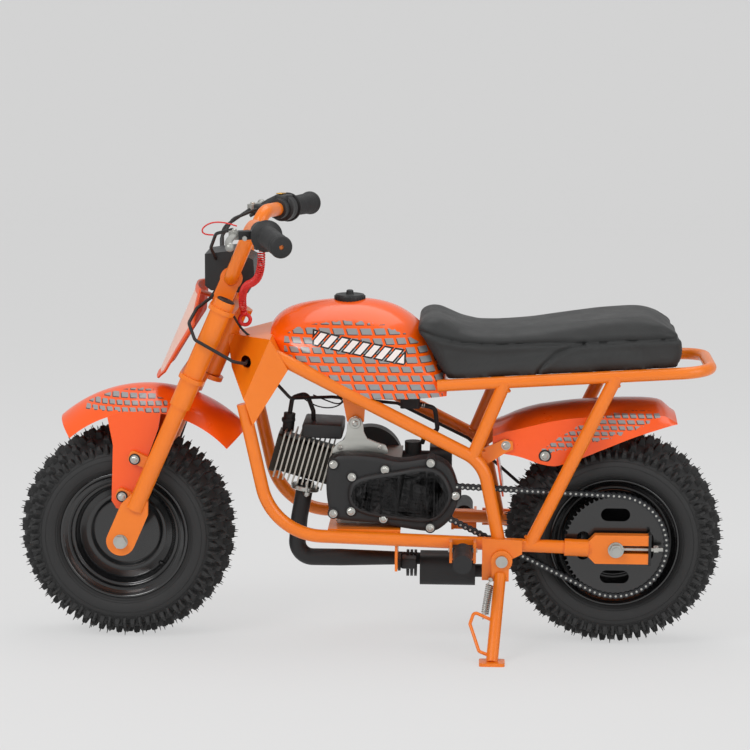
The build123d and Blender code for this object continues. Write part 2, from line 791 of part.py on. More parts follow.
# Fuel tank: sections across the bike, flat below and arched above
tank_table = (  # x, half width, floor, shoulder, crown
    (-150.0, 50.0, 462.0, 476.0, 492.0),
    (-118.0, 80.0, 438.0, 468.0, 517.0),
    (-55.0, tank_half, 404.0, 450.0, 528.0),
    (20.0, tank_half, 390.0, 445.0, 525.0),
    (72.0, tank_half - 3, 391.0, 436.0, 497.0),
    (118.0, tank_half - 14, 394.0, 402.0, 412.0),
)
with BuildPart() as fuel_tank:
    for x, wide, floor, shoulder_z, crown in tank_table:
        with BuildSketch(Plane(origin=(x, 0, 0), x_dir=(0, 1, 0), z_dir=(1, 0, 0))):
            with BuildLine():
                Polyline((-wide, shoulder_z), (-wide, floor), (wide, floor), (wide, shoulder_z))
                ThreePointArc((wide, shoulder_z), (0, crown), (-wide, shoulder_z))
            make_face()
            fillet(vertices().sort_by(Axis.Y)[-2:], 8)
    loft()
    for side in (-1, 1):
        add(backbones[side].part, mode=Mode.SUBTRACT)
    add(gusset_form, mode=Mode.SUBTRACT)
    add(seat_rail.part, mode=Mode.SUBTRACT)
keep(fuel_tank, "fuel_tank")

cap_place = (-32.0, 524.0)
with BuildPart() as tank_cap:
    with BuildSketch(Plane(origin=(cap_place[0], 0, cap_place[1]))):
        Circle(24)
    extrude(amount=10)
    with BuildSketch(Plane(origin=(cap_place[0], 0, cap_place[1] + 10))):
        Circle(9)
    extrude(amount=6)
    add(fuel_tank.part, mode=Mode.SUBTRACT)
keep(tank_cap, "tank_cap")

# Seat: one plain pad on the rail, its nose over the back of the tank
seat_lift = rail_radius + 0.3
seat_nose = (74.0, 503.0)
with BuildPart() as seat:
    with BuildSketch(side_plane(seat_half)):
        with BuildLine():
            Polyline(
                (118, rail_height(118) + seat_lift),
                (464, rail_height(464) + seat_lift),
                (470, 468),
            )
            ThreePointArc((470, 468), (455, 494), (425, 503))
            Polyline((425, 503), (274, 492))
            ThreePointArc((274, 492), (175, 483), (106, 496))
            Polyline((106, 496), (84, 503), (74, 500), (118, rail_height(118) + seat_lift))
        make_face()
    extrude(amount=2 * seat_half)
    fillet(edges().filter_by(lambda e: e.center().Z > 470 and abs(e.center().Y) > seat_half - 1), 16)
    add(fuel_tank.part, mode=Mode.SUBTRACT)
keep(seat, "seat")


# Rear fender: an arched skin over the wheel with pointed sides and a splash sheet in front
rear_fender_table = (  # x, half width, shoulder, crown
    (188.0, rear_fender_half, 322.0, 336.0),
    (225.0, rear_fender_half, 345.0, 359.0),
    (290.0, rear_fender_half, 360.0, 375.0),
    (430.0, rear_fender_half, 363.0, 378.0),
    (466.0, rear_fender_half - 10, 347.0, 356.0),
)
rear_fender_low = 230.0
rear_fender_side = (  # x and z of the side view
    (188, 311),
    (188, 400),
    (466, 400),
    (466, 349),
    (415, 334),
    (329, 304),
    (293, 288),
    (273, 287),
    (225, 300),
)
splash_sheet = ((188, 345), (191, 345), (191, 318), (206, 236), (203, 236), (188, 318))
splash_half = 61.0


def rear_fender_body(inset):
    """Arched solid under the rear fender's skin, drawn in by an inset."""
    with BuildPart() as body:
        for x, wide, shoulder_z, crown in rear_fender_table:
            with BuildSketch(Plane(origin=(x, 0, 0), x_dir=(0, 1, 0), z_dir=(1, 0, 0))):
                with BuildLine():
                    reach = wide - inset
                    rise = shoulder_z - inset
                    floor = rear_fender_low - inset
                    Polyline((-reach, rise), (-reach, floor), (reach, floor), (reach, rise))
                    ThreePointArc((reach, rise), (0, crown - inset), (-reach, rise))
                make_face()
        loft(ruled=True)
    return body.part


with BuildPart() as rear_fender:
    add(rear_fender_body(0))
    add(rear_fender_body(fender_wall), mode=Mode.SUBTRACT)
    with BuildSketch(side_plane(100)):
        Polygon(*rear_fender_side, align=None)
    extrude(amount=200, mode=Mode.INTERSECT)
    with BuildPart(mode=Mode.PRIVATE) as splash:
        with BuildSketch(side_plane(splash_half)):
            Polygon(*splash_sheet, align=None)
        extrude(amount=2 * splash_half)
        add(rear_fender_body(1), mode=Mode.INTERSECT)
    add(splash.part)
keep(rear_fender, "rear_fender")

# Brackets from the frame tubes to the bolts on the rear fender's sides
bracket_outline = ((168, 290), (168, 310), (206, 328), (218, 324), (219, 312), (208, 307), (182, 290))
with BuildPart() as fender_bracket:
    for side in (-1, 1):
        with BuildSketch(side_plane(-rear_fender_half if side < 0 else rear_fender_half + 3)):
            Polygon(*bracket_outline, align=None)
        extrude(amount=3)
        with BuildSketch(side_plane(-rear_fender_half if side < 0 else frame_half_width - 6)):
            with Locations((172, 300)):
                Rectangle(10, 20)
        extrude(amount=frame_half_width - 6 - rear_fender_half)
        add(backbones[side].part, mode=Mode.SUBTRACT)
    add(seat_struts.part, mode=Mode.SUBTRACT)
keep(fender_bracket, "fender_bracket")

# Front fender: an arched section swept round the wheel, with skirts down to the fork's tabs
fender_centre = (-341.4, 189.8)
fender_crown = 204.0
fender_edge = 172.0
fender_start = 42.5
fender_sweep = 88.5
skirt_outline = (  # x and z of the left skirt
    (-400, 375),
    (-388, 310),
    (-391, 224),
    (-384, 212),
    (-372, 210),
    (-362, 220),
    (-319, 335),
    (-312, 375),
)
with BuildPart() as front_fender:
    arch = Plane(
        origin=(fender_centre[0], 0, fender_centre[1]),
        x_dir=(0, 1, 0),
        z_dir=(sin(radians(fender_start)), 0, -cos(radians(fender_start))),
    )
    with BuildSketch(arch):
        with BuildLine():
            inner = front_fender_half - fender_wall
            wide = front_fender_half
            ThreePointArc((-wide, fender_edge), (0, fender_crown), (wide, fender_edge))
            Line((wide, fender_edge), (inner, fender_edge))
            ThreePointArc((inner, fender_edge), (0, fender_crown - fender_wall), (-inner, fender_edge))
            Line((-inner, fender_edge), (-wide, fender_edge))
        make_face()
    revolve(axis=Axis((fender_centre[0], 0, fender_centre[1]), (0, -1, 0)), revolution_arc=fender_sweep)
    with BuildPart(mode=Mode.PRIVATE) as skirts:
        for face in (front_fender_half, fender_wall - front_fender_half):
            with BuildSketch(side_plane(face)):
                Polygon(*skirt_outline, align=None)
                with Locations(fender_centre):
                    Circle(fender_edge + 1, mode=Mode.INTERSECT)
            extrude(amount=fender_wall)
    add(skirts.part)
keep(front_fender, "front_fender")

# Number plate: a board bent backwards at its sides, held by a stay from the upper yoke
with BuildPart() as number_plate:
    with BuildSketch(fork_plane(0, 244)):
        with BuildLine():
            ThreePointArc((-26, -88), (-50, 0), (-26, 88))
            Line((-26, 88), (-29, 88))
            ThreePointArc((-29, 88), (-53, 0), (-29, -88))
            Line((-29, -88), (-26, -88))
        make_face()
    extrude(amount=156)
    front = Plane(origin=fork_point(-70, 0), x_dir=(0, 1, 0), z_dir=(cos(rake), 0, -sin(rake)))
    board = [(58, 400), (88, 350), (60, 262), (36, 244)]
    with BuildSketch(front):
        Polygon(*board, *[(-x, z) for x, z in reversed(board)], align=None)
    extrude(amount=60, mode=Mode.INTERSECT)
    with BuildSketch(fork_plane(-35, head_high)):
        Rectangle(32, 30)
    extrude(amount=4)
    add(fork_yokes.part, mode=Mode.SUBTRACT)
keep(number_plate, "number_plate")

# Control box strapped round the middle of the bar
with BuildPart() as control_box:
    box_plane = Plane(origin=(0, 44, 0), x_dir=(1, 0, 0), z_dir=(0, -1, 0))
    facets = [(-249, 552), (-249, 600), (-205, 606), (-176, 592), (-174, 566), (-184, 541), (-240, 545)]
    with BuildSketch(box_plane):
        Polygon(*facets, align=None)
    extrude(amount=88)
    add(handlebar.part, mode=Mode.SUBTRACT)
    add(clamped_yokes.part, mode=Mode.SUBTRACT)
keep(control_box, "control_box")


# Throttle housing on the right, next to its grip
with BuildPart() as throttle_housing:
    with BuildSketch(bar_frame(1, grip_length + 1)):
        Circle(21)
        with Locations((10, 0)):
            Rectangle(24, 30)
        Circle(bar_radius, mode=Mode.SUBTRACT)
    extrude(amount=24)
keep(throttle_housing, "throttle_housing")

# Brake levers: a perch clamped to the bar and a blade in front of the grip
with BuildPart() as brake_levers:
    for side in (-1, 1):
        inboard = grip_length + (28 if side > 0 else 4)
        perch = bar_frame(side, inboard)
        with BuildSketch(perch):
            Circle(16)
            Circle(bar_radius, mode=Mode.SUBTRACT)
        extrude(amount=16)
        toward = Vector(-1, 0, 0)
        root = perch.origin + perch.z_dir * 8
        forward = (toward - perch.z_dir * toward.dot(perch.z_dir)).normalized()
        with BuildSketch(Plane(origin=root + forward * 14, x_dir=perch.z_dir, z_dir=forward)):
            Rectangle(16, 14)
        extrude(amount=26)
        pivot = root + forward * 36
        tip = pivot - perch.z_dir * 118 + forward * 6
        blade = (tip - pivot).normalized()
        with BuildSketch(Plane(origin=pivot, x_dir=forward, z_dir=blade)):
            RectangleRounded(14, 7, 3)
        extrude(amount=(tip - pivot).length)
keep(brake_levers, "brake_levers")


# Engine: crankcase block, finned cylinder, covers, hanger, carburettor
with BuildPart() as crankcase:
    with BuildSketch(side_plane(case_half)):
        with Locations(crank_shaft):
            Circle(46)
        with Locations((0, 262)):
            Rectangle(100, 60)
        with Locations((0, engine_floor + 12)):
            Rectangle(96, 24)
    extrude(amount=2 * case_half)
    with BuildSketch(side_plane(-case_half, *output_shaft)):
        Circle(44)
    extrude(amount=chain_line - chain_width / 2 - chain_gap - case_half)
    with BuildSketch(side_plane(-20, *output_shaft)):
        Circle(44)
    extrude(amount=case_half - 20)
    with BuildSketch(side_plane(-case_half, *output_shaft)):
        Circle(8)
    extrude(amount=chain_line - chain_width / 2 - case_half)
keep(crankcase, "crankcase")

tilt = radians(cylinder_tilt)
cylinder_middle = (-101.0, 281.0)
fin_count = 11
fin_pitch = 7.6
fin_thickness = 2.4
fin_square = 74.0
bore_axis = Plane(
    origin=(cylinder_middle[0], 0, cylinder_middle[1]),
    x_dir=(0, 1, 0),
    z_dir=(-cos(tilt), 0, sin(tilt)),
)
with BuildPart() as cylinder:
    with BuildSketch(bore_axis.offset(-50)):
        RectangleRounded(56, 56, 10)
    extrude(amount=92)
    for index in range(fin_count):
        level = (index - (fin_count - 1) / 2) * fin_pitch
        with BuildSketch(bore_axis.offset(level - fin_thickness / 2)):
            RectangleRounded(fin_square, fin_square, 6)
        extrude(amount=fin_thickness)
    add(crankcase.part, mode=Mode.SUBTRACT)
    with BuildSketch(bore_axis.offset(40)):
        RectangleRounded(60, 60, 6)
    extrude(amount=8)
keep(cylinder, "cylinder")

# Gearcase cover: a pear-shaped outline over the crank and output shafts with a raised panel
with BuildPart() as gear_cover:
    with BuildSketch(side_plane(-case_half - 1)):
        with Locations(crank_shaft):
            Circle(56)
        with Locations(output_shaft):
            Circle(50)
        make_hull()
    extrude(amount=cover_face - case_half - 5)
    with BuildSketch(side_plane(-cover_face + 4)):
        with Locations((crank_shaft[0] + 3, crank_shaft[1] - 5)):
            Circle(27)
        with Locations(output_shaft):
            Circle(37)
        make_hull()
    extrude(amount=5)
    with BuildSketch(side_plane(-chain_line + chain_width / 2 + chain_gap)):
        with Locations(output_shaft):
            Circle(drive_pitch_radius + chain_depth / 2 + chain_gap)
        with Locations(rear_axle):
            Circle(wheel_pitch_radius + chain_depth / 2 + chain_gap)
        make_hull()
    extrude(amount=chain_width + 2 * chain_gap, mode=Mode.SUBTRACT)
    add(crankcase.part, mode=Mode.SUBTRACT)
keep(gear_cover, "gear_cover")

# Recoil starter cover on the right
with BuildPart() as recoil_cover:
    with BuildSketch(side_plane(case_half + 42, -2, 271)):
        Circle(44)
    extrude(amount=14)
    with BuildSketch(side_plane(case_half + 28, -2, 271)):
        Circle(50)
    extrude(amount=27.5)
    add(crankcase.part, mode=Mode.SUBTRACT)
keep(recoil_cover, "recoil_cover")

# Silver hanger from the crankcase up to a tab on the frame
with BuildPart() as engine_hanger:
    with BuildSketch(side_plane(-37)):
        with BuildLine():
            ThreePointArc((-52, 306), (-34, 322), (-31, 340))
            ThreePointArc((-31, 340), (-21, 354), (-11, 340))
            ThreePointArc((-11, 340), (-6, 322), (25, 306))
            Polyline((25, 306), (25, 292.2), (-52, 292.2), (-52, 306))
        make_face()
    extrude(amount=8)
keep(engine_hanger, "engine_hanger")

# Orange tab hanging from a cross tube between the backbones, in front of the hanger's eye
with BuildPart() as frame_tab:
    cross_x = -24.0
    cross_z = line_height(backbone_front, backbone_corner, cross_x)
    add(round_tube([(cross_x, -frame_half_width, cross_z), (cross_x, frame_half_width, cross_z)], 8))
    with BuildSketch(side_plane(-31)):
        Polygon((-43, 391), (-5, 391), (-8, 345), (-21, 334), (-34, 345), align=None)
    extrude(amount=5.7)
    for side in (-1, 1):
        add(backbones[side].part, mode=Mode.SUBTRACT)
    add(fuel_tank.part, mode=Mode.SUBTRACT)
keep(frame_tab, "frame_tab")

# Exhaust: header, elbow and taper into the silencer under the engine, bolted to the strip
pipe_y = -20.0
pipe_z = 128.0
taper_start = -44.0
with BuildPart() as exhaust:
    add(round_tube(
        [(-98, -14, 246), (-108, -16, 190), (-113, pipe_y, pipe_z), (taper_start, pipe_y, pipe_z)],
        pipe_radius,
        pipe_bend,
    ))
    for x, radius in ((taper_start, pipe_radius), (silencer_front + 2, tail_radius)):
        with BuildSketch(Plane(origin=(x, pipe_y, pipe_z), x_dir=(0, 1, 0), z_dir=(1, 0, 0))):
            Circle(radius)
    loft()
    with BuildSketch(Plane(origin=(silencer_front, pipe_y, 114), x_dir=(0, 1, 0), z_dir=(1, 0, 0))):
        RectangleRounded(62, 46, 16)
    extrude(amount=silencer_length)
    with BuildSketch(Plane(origin=(silencer_front, pipe_y, 110), x_dir=(0, 1, 0), z_dir=(1, 0, 0))):
        Circle(tail_radius + 1)
    extrude(amount=silencer_length + 38)
    with BuildSketch(Plane(origin=(strip_place + 2, 0, 0), x_dir=(0, 1, 0), z_dir=(1, 0, 0))):
        with Locations((-42, pipe_z)):
            Rectangle(44, 18)
    extrude(amount=4)
    add(cylinder.part, mode=Mode.SUBTRACT)
keep(exhaust, "exhaust")

# Carburettor and air filter behind the crankcase
with BuildPart() as carburettor:
    with BuildSketch(Plane(origin=(50, 12, 276), x_dir=(0, 1, 0), z_dir=(1, 0, 0))):
        Circle(15)
    extrude(amount=43)
    with BuildSketch(Plane(origin=(66, 12, 256))):
        Circle(13)
    extrude(amount=50)
    with BuildSketch(Plane(origin=(92, 12, 276), x_dir=(0, 1, 0), z_dir=(1, 0, 0))):
        RectangleRounded(56, 50, 12)
    extrude(amount=34)
    add(crankcase.part, mode=Mode.SUBTRACT)
keep(carburettor, "carburettor")

# Chain: side plates along the whole loop, with bushes between them on the two free runs
reach = Vector(rear_axle[0] - output_shaft[0], rear_axle[1] - output_shaft[1])
along = reach.normalized()
across = Vector(-along.Y, along.X)
taper = (wheel_pitch_radius - drive_pitch_radius) / reach.length
plate_gap = chain_width - 4
bush_radius = 2.2
bush_step = 2 * chain_pitch
with BuildPart() as chain:
    for offset_y in (-chain_line + chain_width / 2, -chain_line - chain_width / 2 + 1.6):
        with BuildSketch(side_plane(offset_y)):
            with BuildSketch(mode=Mode.PRIVATE) as inner_loop:
                with Locations(rear_axle):
                    Circle(wheel_pitch_radius - chain_depth / 2)
                with Locations(output_shaft):
                    Circle(drive_pitch_radius - chain_depth / 2)
                make_hull()
            with Locations(rear_axle):
                Circle(wheel_pitch_radius + chain_depth / 2)
            with Locations(output_shaft):
                Circle(drive_pitch_radius + chain_depth / 2)
            make_hull()
            add(inner_loop.sketch, mode=Mode.SUBTRACT)
        extrude(amount=1.6)
    for turn in (1, -1):
        normal = across * (turn * sqrt(1 - taper**2)) - along * taper
        start = Vector(*output_shaft) + normal * drive_pitch_radius
        finish = Vector(*rear_axle) + normal * wheel_pitch_radius
        run = finish - start
        count = int(run.length / bush_step)
        spots = [start + run * ((index + 0.5) / count) for index in range(count - 2)]
        with BuildSketch(side_plane(-chain_line + chain_width / 2 - 1.6)):
            with Locations(*[(spot.X, spot.Y) for spot in spots]):
                RegularPolygon(bush_radius, 6)
        extrude(amount=chain_width - 3.2)
keep(chain, "chain")

# Drive sprocket on the output shaft
with BuildPart() as drive_sprocket:
    with BuildSketch(side_plane(-chain_line + chain_width / 2, *output_shaft)):
        Circle(drive_pitch_radius - chain_depth / 2)
    extrude(amount=chain_width)
keep(drive_sprocket, "drive_sprocket")

# Brake calipers on the right, hung over the discs from the fork leg and from the stay
caliper_table = (  # name, axle, angle round the axle, outer face, what carries it
    ("front_caliper", front_axle, 50.0, leg_spacing - 6, (fork_legs,)),
    ("rear_caliper", rear_axle, 152.0, frame_half_width - 6, (dropouts, cradle_tubes)),
)
caliper_inner = brake_disc_line - 5.5
calipers = {}
for name, axle, angle, outer_face, carriers in caliper_table:
    with BuildPart() as calipers[name]:
        spot_x = axle[0] + (brake_disc_radius - 8) * cos(radians(angle))
        spot_z = axle[1] + (brake_disc_radius - 8) * sin(radians(angle))
        with BuildSketch(side_plane(outer_face, spot_x, spot_z)):
            RectangleRounded(44, 36, 8)
        extrude(amount=outer_face - caliper_inner)
        with BuildSketch(side_plane(brake_disc_line + 3.5, *axle)):
            Circle(brake_disc_radius + 4)
        extrude(amount=7, mode=Mode.SUBTRACT)
        for carrier in carriers:
            add(carrier.part, mode=Mode.SUBTRACT)
    keep(calipers[name], name)

# Spark plug cap and its lead back to the coil
with BuildPart() as plug_lead:
    add(round_tube([(-127, 0, 322), (-124, 0, 350)], 9))
    add(round_tube([(-124, 0, 349), (-120, 0, 374), (-98, 4, 380), (-88, 6, 352), (-88, 8, 332)], 3.5, 9))
    add(cylinder.part, mode=Mode.SUBTRACT)
keep(plug_lead, "plug_lead")

# Fuel tap under the tank and its hose to the carburettor
with BuildPart() as fuel_tap:
    with BuildSketch(Plane(origin=(62, -30, 366))):
        RectangleRounded(30, 20, 5)
    extrude(amount=30)
    add(round_tube([(74, -30, 372), (100, -30, 366), (104, -20, 330), (84, 0, 318), (80, 6, 304)], 3.5, 10))
    add(fuel_tank.part, mode=Mode.SUBTRACT)
    add(carburettor.part, mode=Mode.SUBTRACT)
keep(fuel_tap, "fuel_tap")

# Kill switch on the left of the bar
switch_size = 16.0
switch_drop = 25.0
switch_plane = bar_frame(-1, grip_length + 26)
with BuildPart() as kill_switch:
    with BuildSketch(switch_plane):
        Circle(15)
        with Locations((-switch_drop + 11, 0)):
            Rectangle(22, 20)
        Circle(bar_radius, mode=Mode.SUBTRACT)
    extrude(amount=switch_size)
keep(kill_switch, "kill_switch")

# Kill cord: a curly lanyard that hangs from the switch, with a clip on its free end
cord_radius = 5.5
cord_exit = switch_plane.from_local_coords((-switch_drop, 0, switch_size / 2))
cord_points = (
    cord_exit,
    cord_exit - switch_plane.x_dir * 17,
    (-155.6, -154.4, 590.4),
    (-160.5, -140.2, 577.3),
    (-170.0, -117.0, 567.0),
    (-180.0, -92.0, 561.0),
    (-188.0, -71.0, 550.0),
    (-192.0, -57.0, 531.0),
    (-190.0, -50.0, 514.0),
)
runs = [Vector(*b) - Vector(*a) for a, b in zip(cord_points, cord_points[1:])]
turns = [radians(a.get_angle(b)) for a, b in zip(runs, runs[1:])]
bends = [0.45 * min(a.length, b.length) / tan(turn / 2) for a, b, turn in zip(runs, runs[1:], turns)]
print("kill cord bend radii", [round(bend, 1) for bend in bends])
with BuildPart() as kill_cord:
    with BuildLine() as route:
        FilletPolyline(*cord_points, radius=bends)
    with BuildSketch(Plane(origin=route.line @ 0, z_dir=route.line % 0)):
        Circle(cord_radius)
    sweep()
route_length = sum(edge.length for edge in route.line.edges())
section_volume = pi * cord_radius**2 * route_length
print("kill cord volume", round(kill_cord.part.volume), "section by length", round(section_volume))
print("kill cord length", round(route_length, 1))
keep(kill_cord, "kill_cord")
cord_end = Vector(*cord_points[-1])
cord_way = runs[-1].normalized()
clip_centre = cord_end + cord_way * 14
with BuildPart() as kill_clip:
    with BuildSketch(Plane(origin=cord_end, x_dir=(1, 0, 0), z_dir=cord_way)):
        Circle(6)
    extrude(amount=6)
    with BuildSketch(Plane(origin=clip_centre + Vector(0, 3, 0), x_dir=(1, 0, 0), z_dir=(0, -1, 0))):
        Circle(11)
        Circle(5, mode=Mode.SUBTRACT)
    extrude(amount=6)
keep(kill_clip, "kill_clip")

# Cables on the bar: from the levers to the box, down past the left leg, and to the front caliper
cable_radius = 2.5
cable_meeting = Vector(-262, -110, 492)
cable_way = Vector(5, -4, -12)
with BuildPart() as bar_cables:
    add(round_tube(
        [(-232, -38, 546), (-240, -48, 534), (-258, -78, 522), cable_meeting - cable_way, cable_meeting],
        cable_radius,
        8,
    ))
    add(round_tube(
        [(-196, -152, 650), (-224, -120, 640), (-236, -80, 614), (-232, -38, 590)], cable_radius, 24,
    ))
    add(round_tube(
        [(-186, 128, 650), (-220, 100, 638), (-236, 76, 612), (-232, 38, 590)], cable_radius, 24,
    ))
    add(round_tube(
        [
            (-196, 132, 650),
            (-238, 112, 622),
            fork_point(-32, 420, 102),
            fork_point(-16, 330, 108),
            fork_point(8, 220, 106),
            fork_point(16, 110, 102),
            fork_point(17, 62, 78),
        ],
        cable_radius,
        20,
    ))
    add(control_box.part, mode=Mode.SUBTRACT)
    add(brake_levers.part, mode=Mode.SUBTRACT)
    add(handlebar.part, mode=Mode.SUBTRACT)
    add(calipers["front_caliper"].part, mode=Mode.SUBTRACT)
    add(clamped_yokes.part, mode=Mode.SUBTRACT)
    add(number_plate.part, mode=Mode.SUBTRACT)
keep(bar_cables, "bar_cables")

# The same cable's stretch on the frame: through the hole in the gusset and back to the rear caliper
with BuildPart() as frame_cable:
    add(round_tube(
        [
            cable_meeting,
            cable_meeting + cable_way,
            (-222, -113, 460),
            (-200, -110, 447),
            (-184, -92, 441),
            (-184, -60, 440),
            (-160, -45, 424),
            (-120, -40, 380),
            (-60, 20, 372),
            (40, 60, 356),
            (150, 72, 300),
            (230, 72, 230),
            (300, 72, 206),
            (322, 72, 200),
        ],
        cable_radius,
        8,
    ))
    add(head_gusset.part, mode=Mode.SUBTRACT)
    add(calipers["rear_caliper"].part, mode=Mode.SUBTRACT)
keep(frame_cable, "frame_cable")
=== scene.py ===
import json
import math
from functools import partial

import bmesh
import bpy
from mathutils import Matrix, Vector


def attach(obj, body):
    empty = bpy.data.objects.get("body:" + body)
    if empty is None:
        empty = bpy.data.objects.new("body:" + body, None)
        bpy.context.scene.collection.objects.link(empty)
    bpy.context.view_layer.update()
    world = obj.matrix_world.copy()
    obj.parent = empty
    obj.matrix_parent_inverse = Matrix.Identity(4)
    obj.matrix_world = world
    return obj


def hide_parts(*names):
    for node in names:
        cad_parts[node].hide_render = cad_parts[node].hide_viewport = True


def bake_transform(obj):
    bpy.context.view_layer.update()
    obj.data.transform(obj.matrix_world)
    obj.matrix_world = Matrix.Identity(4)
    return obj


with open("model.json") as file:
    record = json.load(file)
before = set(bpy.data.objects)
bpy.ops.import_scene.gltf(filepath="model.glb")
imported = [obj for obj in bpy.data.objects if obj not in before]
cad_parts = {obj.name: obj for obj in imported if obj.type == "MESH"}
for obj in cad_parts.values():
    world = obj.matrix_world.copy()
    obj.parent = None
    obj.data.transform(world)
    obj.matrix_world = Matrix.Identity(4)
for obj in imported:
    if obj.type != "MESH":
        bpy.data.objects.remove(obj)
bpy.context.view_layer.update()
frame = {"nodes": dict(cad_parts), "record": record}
nodes = frame["nodes"]

# Sizes below are millimetres on the upright bike: x rearwards, y to the rider's right, z up.
# The whole bike then leans on its stand, so every new piece goes through leanMatrix.
stance = {
    "wheelbase": 750.0,
    "tyreRadius": 165.0,
    "treadCrown": 85.0,
    "lean": math.radians(4.0),
    "rake": math.radians(23.55),
    "barBack": -7.0,
    "barShoulder": 526.0,
    "barSweep": 58.0,
    "barDrop": 7.0,
    "barHalfWidth": 303.0,
    "barShoulderHalf": 98.0,
    "legSpacing": 88.0,
    "chainLine": 72.0,
}
frontAxle = Vector((-stance["wheelbase"] / 2, 0, stance["tyreRadius"]))
rearAxle = Vector((stance["wheelbase"] / 2, 0, stance["tyreRadius"]))
left = Vector((0, -1, 0))


def forkPoint(back, up, side=0.0):
    # back is square to the fork legs, up runs along them, both from the front axle
    c, s = math.cos(stance["rake"]), math.sin(stance["rake"])
    return Vector((frontAxle.x + back * c + up * s, side, frontAxle.z - back * s + up * c))


barEnd = forkPoint(stance["barBack"], stance["barShoulder"])
barEnd += Vector((stance["barSweep"], 0, -stance["barDrop"]))
leanMatrix = (
    Matrix.Scale(0.001, 4)
    @ Matrix.Translation((
        0,
        barEnd.z * math.sin(stance["lean"]),
        stance["treadCrown"] * (1 - math.cos(stance["lean"])),
    ))
    @ Matrix.Rotation(stance["lean"], 4, "X")
)


# Mesh helpers
def toFrame(point):
    return leanMatrix @ Vector(point)


def placed(origin, direction, turn=0.0):
    # matrix that stands a shape's own z along a direction at a place
    facing = Vector(direction).normalized().to_track_quat("Z", "Y").to_matrix().to_4x4()
    return Matrix.Translation(Vector(origin)) @ facing @ Matrix.Rotation(turn, 4, "Z")


def addDisc(mesh, origin, direction, radius, depth, sides=32, topRadius=None, turn=0.0):
    # a round, or with few sides a hexagon, standing on its origin along a direction
    top = radius if topRadius is None else topRadius
    matrix = placed(origin, direction, turn) @ Matrix.Translation((0, 0, depth / 2))
    bmesh.ops.create_cone(
        mesh, cap_ends=True, segments=sides, radius1=radius, radius2=top, depth=depth, matrix=matrix
    )


def addRod(mesh, start, end, radius, sides=16):
    start, end = Vector(start), Vector(end)
    addDisc(mesh, start, end - start, radius, (end - start).length, sides)


def addBlock(mesh, centre, size, direction=(0, 0, 1), turn=0.0, bevel=0.0):
    made = bmesh.ops.create_cube(mesh, size=1.0)["verts"]
    bmesh.ops.scale(mesh, vec=Vector(size), verts=made)
    if bevel:
        edges = list({edge for vert in made for edge in vert.link_edges})
        made = bmesh.ops.bevel(
            mesh, geom=edges, offset=bevel, segments=2, affect="EDGES", profile=0.5, material=-1
        )["verts"]
    block = list({v for vert in made for f in vert.link_faces for v in f.verts})
    bmesh.ops.transform(mesh, matrix=placed(centre, direction, turn), verts=block)


def addHexBolt(mesh, origin, direction, size=5.0):
    # flanged hexagon head with a softened top, each turned its own way
    turn = (Vector(origin).x * 7.3 + Vector(origin).z * 3.1) % 1.0
    lift = Vector(direction).normalized()
    addDisc(mesh, origin, direction, size * 1.25, size * 0.18, 24)
    base = Vector(origin) + lift * size * 0.18
    addDisc(mesh, base, direction, size * 0.95, size * 0.5, 6, turn=turn)
    addDisc(mesh, base + lift * size * 0.5, direction, size * 0.95, size * 0.14, 6, size * 0.72, turn)
    addDisc(mesh, base + lift * size * 0.6, direction, size * 0.5, size * 0.12, 16, size * 0.42)


def addPlate(mesh, outline, low, high, bevel=0.0):
    # a closed side-view outline, x and z, made as thick as low to high across the bike
    verts = [mesh.verts.new((x, low, z)) for x, z in outline]
    face = mesh.faces.new(verts)
    grown = bmesh.ops.extrude_face_region(mesh, geom=[face])["geom"]
    top = [item for item in grown if isinstance(item, bmesh.types.BMVert)]
    bmesh.ops.translate(mesh, vec=(0, high - low, 0), verts=top)
    if bevel:
        rim = [
            edge for edge in {e for v in verts + top for e in v.link_edges}
            if len(edge.link_faces) == 2 and edge.calc_face_angle(0) > 0.6
        ]
        bmesh.ops.bevel(mesh, geom=rim, offset=bevel, segments=2, affect="EDGES", profile=0.5, material=-1)


def addLathe(mesh, profile, axle, sides):
    # closed profile of across and radius pairs, spun about a wheel's axle
    ring = [mesh.verts.new((axle[0], axle[1] + across, axle[2] + radius)) for across, radius in profile]
    edges = [mesh.edges.new(pair) for pair in zip(ring, ring[1:] + ring[:1])]
    bmesh.ops.spin(
        mesh, geom=ring + edges, cent=axle, axis=(0, 1, 0), angle=math.tau, steps=sides, use_merge=True
    )


def roundedRoute(points, radius, steps=6):
    # straight runs joined by arcs of one radius
    route = [Vector(points[0])]
    for before, corner, after in zip(points, points[1:], points[2:]):
        a, b, c = Vector(before), Vector(corner), Vector(after)
        u, v = (a - b).normalized(), (c - b).normalized()
        half = u.angle(v) / 2
        reach = min(radius / math.tan(half), (a - b).length * 0.48, (c - b).length * 0.48)
        size = reach * math.tan(half)
        hub = b + (u + v).normalized() * size / math.sin(half)
        first = b + u * reach - hub
        axis = first.cross(b + v * reach - hub).normalized()
        for i in range(steps + 1):
            route.append(hub + Matrix.Rotation((math.pi - 2 * half) * i / steps, 3, axis) @ first)
    route.append(Vector(points[-1]))
    return route


def joinPart(mesh, part, matrix=None):
    # adds a finished part, its faces outwards, to a mesh in the making
    if matrix:
        bmesh.ops.transform(part, matrix=matrix, verts=part.verts)
    bmesh.ops.recalc_face_normals(part, faces=part.faces)
    data = bpy.data.meshes.new("part")
    part.to_mesh(data)
    part.free()
    mesh.from_mesh(data)
    bpy.data.meshes.remove(data)


